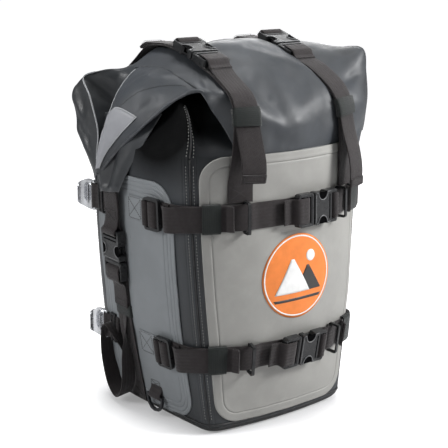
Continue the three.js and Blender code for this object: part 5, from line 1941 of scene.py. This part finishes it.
rear_slab("rub_pad_plate", rounded_rect(-44, 44, 38, 188, 12, 6), 6.2, 3.8, "rubber",
          bevel=1.4, replaces="rub_pad")
for i in range(4):
    for side, sign in SIDES:
        x, z = sign * 27, 72 + i * 24
        rear_slab("rub_pad_slot_%d_%s" % (i, side),
                  rounded_rect(x - 12, x + 12, z, z + 3.6, 1.6, 4), 6.5, 1.2, "dark",
                  bevel=0.2, slot="base_rubber")
for name, z in (("top", 178), ("low", 45)):
    rear_slab("rub_pad_frame_" + name, rounded_rect(-38, 38, z, z + 3, 1.4, 4), 6.9, 1.5,
              "rubber", bevel=0.6)
rear_slab("rub_pad_rim", rounded_rect(-47, 47, 35, 191, 14, 6), 3.6, 1.6, "rubber", bevel=0.6)

# ---------------------------------------------------------------- centre harness on the rear
HARNESS_WEB = 25
CAM_Y = rear_y(0, 250) + 6.4
WIRE_Y = CAM_Y + 4.0
GLIDE_Y = rear_y(0, 348) + 7.0
LEFTWARD, RIGHTWARD = (-1.0, 0, 0), (1.0, 0, 0)


def middle_ribbon(y0, stations, across, w=HARNESS_WEB, t=1.9, step=2):
    """Webbing in the middle plane through (distance behind y0, z)."""
    return ribbon([(0, y0 + off, z) for off, z in stations], across, w, t, step)


def harness_ribbon(stations):
    """Loose webbing; stations are (point, width direction)."""
    return ribbon([point for point, _ in stations], [across for _, across in stations],
                  w=HARNESS_WEB, t=1.7, step=2.4)


put("harness_main",
    ribbon([(0, rear_y(0, z) + (5.1 if 340 < z < 356 else 2.9), z)
            for z in (404, 396, 380, 364, 352, 344, 330, 300, 276, 268)],
           RIGHTWARD, w=HARNESS_WEB), "web", replaces="harness_strap")
put("harness_lower",
    middle_ribbon(0, [(rear_y(0, 205) + 3.0, 196), (rear_y(0, 215) + 3.0, 214),
                      (rear_y(0, 230) + 3.4, 230), (CAM_Y + 1.0, 238), (CAM_Y + 6.5, 240.5)],
                  LEFTWARD), "web")
put("harness_wrap",
    middle_ribbon(CAM_Y, [(-2.0, 246), (-2.0, 234), (-1.0, 229.6), (3.6, 228.0), (7.6, 229.4),
                          (8.6, 232.4)], LEFTWARD, step=1.6), "web")
# bent-wire loop below the cam buckle: x, z
WIRE_LOOP = [(-17, 226), (-17.5, 220), (-17, 212), (-13.5, 208.6), (0, 208), (13.5, 208.6),
             (17, 212), (17.5, 220), (17, 226), (13.5, 229.4), (0, 230), (-13.5, 229.4)]
wire, _ = resample([(x, WIRE_Y + 3.4 * (226 - z) / 18.0, z) for x, z in WIRE_LOOP], 1.6,
                   closed=True)
put("harness_wire_loop", tube(wire, 1.5, 10, closed=True), "alu", slot="ring_steel")
# spare webbing hanging from it and curling up over the pad
put("harness_tail", harness_ribbon([
    ((0, WIRE_Y + 6.2, 222), (-1, 0, 0)), ((0, WIRE_Y + 8.0, 206), (-1, 0, 0)),
    ((-3, WIRE_Y + 7.4, 180), (-1, 0, 0)), ((-9, WIRE_Y + 5.6, 140), (-1, 0.05, 0)),
    ((-15, WIRE_Y + 5.4, 98), (-1, 0.15, 0)), ((-18, WIRE_Y + 8.5, 58), (-0.85, 0.5, 0)),
    ((-14, WIRE_Y + 12.0, 30), (-0.5, 0.9, 0)), ((-2, WIRE_Y + 13.0, 15.5), (0, 1, 0.1)),
    ((13, WIRE_Y + 12.0, 20), (0.3, 1, 0)), ((22, WIRE_Y + 9.5, 40), (0.7, 0.7, 0)),
    ((25, PAD_Y + 10.6, 66), (1, 0.3, 0)), ((26, PAD_Y + 8.2, 92), (1, 0, 0)),
    ((26, PAD_Y + 7.6, 118), (1, 0, 0))]), "web")
put("harness_spare", harness_ribbon([
    ((2, WIRE_Y + 2.6, 219), (-1, 0, 0)), ((3, WIRE_Y + 1.0, 208), (-1, 0, 0)),
    ((6, WIRE_Y - 0.5, 186), (-1, 0, 0)), ((12, WIRE_Y + 0.2, 150), (-1, 0.1, 0)),
    ((20, WIRE_Y + 1.5, 122), (-1, 0.1, 0)), ((27, WIRE_Y + 3.5, 100), (-1, 0.1, 0))]), "web")
put("cam_pull_tab",
    middle_ribbon(CAM_Y, [(11.2, 260), (12.4, 266), (12.0, 282), (10.8, 296), (11.4, 301),
                          (13.4, 300), (14.4, 294), (15.2, 282), (15.4, 266), (14.2, 258)],
                  RIGHTWARD, w=20, t=1.6), "red", body="cam_lever")
put("glide_web",
    middle_ribbon(GLIDE_Y, [(-1.5, 366), (-0.6, 358), (2.0, 353.5), (4.0, 351.5), (4.4, 348),
                            (4.0, 344.5), (2.0, 342.5), (-0.6, 338), (-1.5, 330)],
                  LEFTWARD, w=24.5, step=1.4), "web", body="harness_glide")
stitch_box(lambda x, z: (np.array([x, rear_y(0, z) + 5.3, z]), (0, 1.0, 0)),
           -10, 10, 397.5, 403, cross=False)


# ---------------------------------------------------------------- rigid parts
def smooth_group():
    group = bpy.data.node_groups.new("smooth_faces", "GeometryNodeTree")
    for in_out in ("INPUT", "OUTPUT"):
        group.interface.new_socket("Geometry", in_out=in_out,
                                   socket_type="NodeSocketGeometry")
    source = group.nodes.new("NodeGroupInput")
    result = group.nodes.new("NodeGroupOutput")
    smooth = group.nodes.new("GeometryNodeSetShadeSmooth")
    group.links.new(source.outputs[0], smooth.inputs[0])
    group.links.new(smooth.outputs[0], result.inputs[0])
    return group


SMOOTH_FACES = smooth_group()


def rigid_finish(name):
    """Material and bevel width of a rigid piece, or None to leave it alone."""
    if name.startswith(("comp_plug", "comp_socket", "top_plug", "top_socket", "side_plug",
                        "side_socket")):
        return "plastic", 1.1
    if name.startswith(("ladder", "harness_glide")):
        return "plastic", 1.0
    if name.startswith("comp_loop"):
        return "plastic2", 1.1
    if name.startswith("hook_"):
        return None
    if "dring" in name:
        return "steel", 1.3
    return {"cam_buckle": ("steel", 0.8), "cam_lever": ("alu", 0.8),
            "back_board": ("board", 0.4)}.get(name)


def dress(obj, mat, bevel):
    """Give a rigid piece its material and softer edges."""
    for slot in obj.material_slots:
        slot.material = MAT[mat]
    if not obj.material_slots:
        obj.data.materials.append(MAT[mat])
    modify(obj, "DECIMATE", decimate_type="DISSOLVE", angle_limit=math.radians(1.5))
    modify(obj, "BEVEL", width=bevel * MM, segments=3, limit_method="ANGLE",
           angle_limit=math.radians(28), harden_normals=False, use_clamp_overlap=True)
    obj.modifiers.new("smooth_faces", "NODES").node_group = SMOOTH_FACES
    modify(obj, "WEIGHTED_NORMAL", keep_sharp=True, weight=60)


for name, piece in frame["nodes"].items():
    finish = rigid_finish(name)
    if finish:
        # a node may hold one object or a list of them
        dress(piece[0] if isinstance(piece, (list, tuple)) else piece, *finish)

add_stitches()

# ---------------------------------------------------------------- stretching webbing
bpy.context.view_layer.update()
for obj, body_a, body_b, point_a, point_b in STRETCH:
    world = obj.matrix_world.copy()
    obj.parent = None
    obj.matrix_world = world
    if "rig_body" in obj:
        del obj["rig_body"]
    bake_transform(obj, body_a, body_b, [float(c) * MM for c in point_a],
             [float(c) * MM for c in point_b])

# ---------------------------------------------------------------- join small repeated details
KEEPERS = ("keeper_", "top_keeper_", "side_keeper_")
KINDS = KEEPERS + (
    "socket_well_", "socket_arc_", "socket_lip_", "socket_edge_", "socket_slot_", "plug_rim_",
    "plug_rail_", "hook_slider_", "rub_pad_slot_", "rub_pad_frame", "piping_", "lock_web_",
    "lock_tab_", "strap_tail_", "strap_fold_", "socket_web_", "side_web_", "dring_web_",
    "top_rear_tail_", "top_tail_end_", "handle_tab_", "cut_edge_", "patch_edge_")


def join_details():
    """One mesh for each kind, body, material and set of modifiers."""
    groups = {}
    for obj in sorted(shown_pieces(), key=lambda piece: piece.name):
        if (obj.type != "MESH" or "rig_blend" in obj or "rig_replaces" in obj
                or "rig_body" not in obj or not obj.material_slots):
            continue
        kind = next((k for k in KINDS if obj.name.startswith(k)), None)
        if kind is None:
            continue
        if kind in KEEPERS:
            kind = "keeper_"
        modifiers = tuple((m.type, round(getattr(m, "width", 0) * 1e6),
                           round(getattr(m, "thickness", 0) * 1e6)) for m in obj.modifiers)
        key = (kind, obj["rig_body"], obj.material_slots[0].material.name, modifiers,
               len(obj.data.uv_layers))
        groups.setdefault(key, []).append(obj)
    for key, objs in sorted(groups.items(), key=lambda item: str(item[0])):
        if len(objs) < 2:
            continue
        kind, body = key[:2]
        with bpy.context.temp_override(active_object=objs[0], object=objs[0],
                                       selected_objects=objs, selected_editable_objects=objs):
            bpy.ops.object.join()
        objs[0].name = kind.rstrip("_") + "_set" + ("" if body == "bag" else "_" + body)


join_details()


# ---------------------------------------------------------------- floor, light, camera
def set_range(node, span, to):
    for i, value in enumerate((*span, *to), 1):
        node.inputs[i].default_value = value


def floor_material():
    """Pale floor that glows for the camera; its glow darkens close to the bag as a painted contact shadow.
    """
    material = bpy.data.materials.new("floor_pale")
    material.use_nodes = True
    nodes, links = material.node_tree.nodes, material.node_tree.links
    surface_node = nodes["Principled BSDF"]
    surface_node.inputs["Base Color"].default_value = (0.62, 0.62, 0.63, 1)
    surface_node.inputs["Roughness"].default_value = 0.9
    ray = nodes.new("ShaderNodeLightPath")
    glow = nodes.new("ShaderNodeMath")
    glow.operation = "MULTIPLY"
    glow.inputs[1].default_value = 0.85
    links.new(ray.outputs["Is Camera Ray"], glow.inputs[0])
    links.new(glow.outputs[0], surface_node.inputs["Emission Strength"])
    occlusion = nodes.new("ShaderNodeAmbientOcclusion")
    occlusion.samples = 8
    occlusion.inputs["Distance"].default_value = 0.10
    painted_contact_shadow = nodes.new("ShaderNodeMapRange")
    set_range(painted_contact_shadow, span=(0.45, 0.97), to=(0.30, 1.0))
    grey = nodes.new("ShaderNodeCombineColor")
    links.new(occlusion.outputs["AO"], painted_contact_shadow.inputs[0])
    for i in range(3):
        links.new(painted_contact_shadow.outputs[0], grey.inputs[i])
    links.new(grey.outputs[0], surface_node.inputs["Emission Color"])
    return material


def add_floor(half=14.0):
    mesh = bpy.data.meshes.new("floor")
    mesh.from_pydata([(-half, -half, 0), (half, -half, 0), (half, half, 0), (-half, half, 0)],
                     [], [(0, 1, 2, 3)])
    obj = bpy.data.objects.new("floor", mesh)
    bpy.context.scene.collection.objects.link(obj)
    mesh.materials.append(floor_material())
    obj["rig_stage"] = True


def add_world():
    """Light that brightens with height; the camera sees at least full white."""
    world = bpy.data.worlds.new("studio")
    bpy.context.scene.world = world
    world.use_nodes = True
    nodes, links = world.node_tree.nodes, world.node_tree.links
    background = nodes["Background"]
    coords = nodes.new("ShaderNodeTexCoord")
    axes = nodes.new("ShaderNodeSeparateXYZ")
    height = nodes.new("ShaderNodeMapRange")
    ray = nodes.new("ShaderNodeLightPath")
    links.new(coords.outputs["Generated"], axes.inputs[0])
    links.new(axes.outputs[2], height.inputs[0])
    set_range(height, span=(0.0, 0.75), to=(0.07, 0.32))
    strength = nodes.new("ShaderNodeMath")
    strength.operation = "MAXIMUM"
    seen = nodes.new("ShaderNodeMath")
    seen.operation = "MULTIPLY"
    seen.inputs[1].default_value = 1.0
    links.new(ray.outputs["Is Camera Ray"], seen.inputs[0])
    links.new(seen.outputs[0], strength.inputs[0])
    links.new(height.outputs[0], strength.inputs[1])
    background.inputs[0].default_value = (0.96, 0.98, 1.0, 1)
    links.new(strength.outputs[0], background.inputs[1])


def aim(obj, location, target):
    obj.location = location
    direction = Vector(target) - Vector(location)
    obj.rotation_euler = direction.to_track_quat("-Z", "Y").to_euler()


def add_light(name, location, target, size, power):
    light = bpy.data.lights.new(name, "AREA")
    light.shape = "SQUARE"
    light.size = size
    light.energy = power
    light.color = (1, 1, 1)
    obj = bpy.data.objects.new(name, light)
    bpy.context.scene.collection.objects.link(obj)
    aim(obj, location, target)


def add_camera():
    camera = bpy.data.cameras.new("camera")
    obj = bpy.data.objects.new("camera", camera)
    bpy.context.scene.collection.objects.link(obj)
    aim(obj, location=(-1.118, -1.440, 0.704), target=(0.0, 0.0, 0.272))
    camera.lens = 98
    camera.sensor_width = 36
    bpy.context.scene.camera = obj


# the stage is in metres
add_floor()
add_world()
add_light("key", location=(1.5, -1.5, 1.35), target=(0.05, 0, 0.36), size=0.8, power=68)
add_light("left", location=(-1.9, 0.45, 1.15), target=(0, 0, 0.36), size=0.8, power=22)
add_light("top", location=(0.0, 0.0, 1.9), target=(0, 0, 0.45), size=0.7, power=16)
add_light("rim", location=(1.3, 1.4, 1.1), target=(0, 0, 0.4), size=1.0, power=14)
add_camera()
bpy.context.scene.view_settings.view_transform = "Standard"

VIS_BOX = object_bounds()
({"cad": [list(CAD_BOX[0]), list(CAD_BOX[1])],
           "visual": [list(VIS_BOX[0]), list(VIS_BOX[1])]})
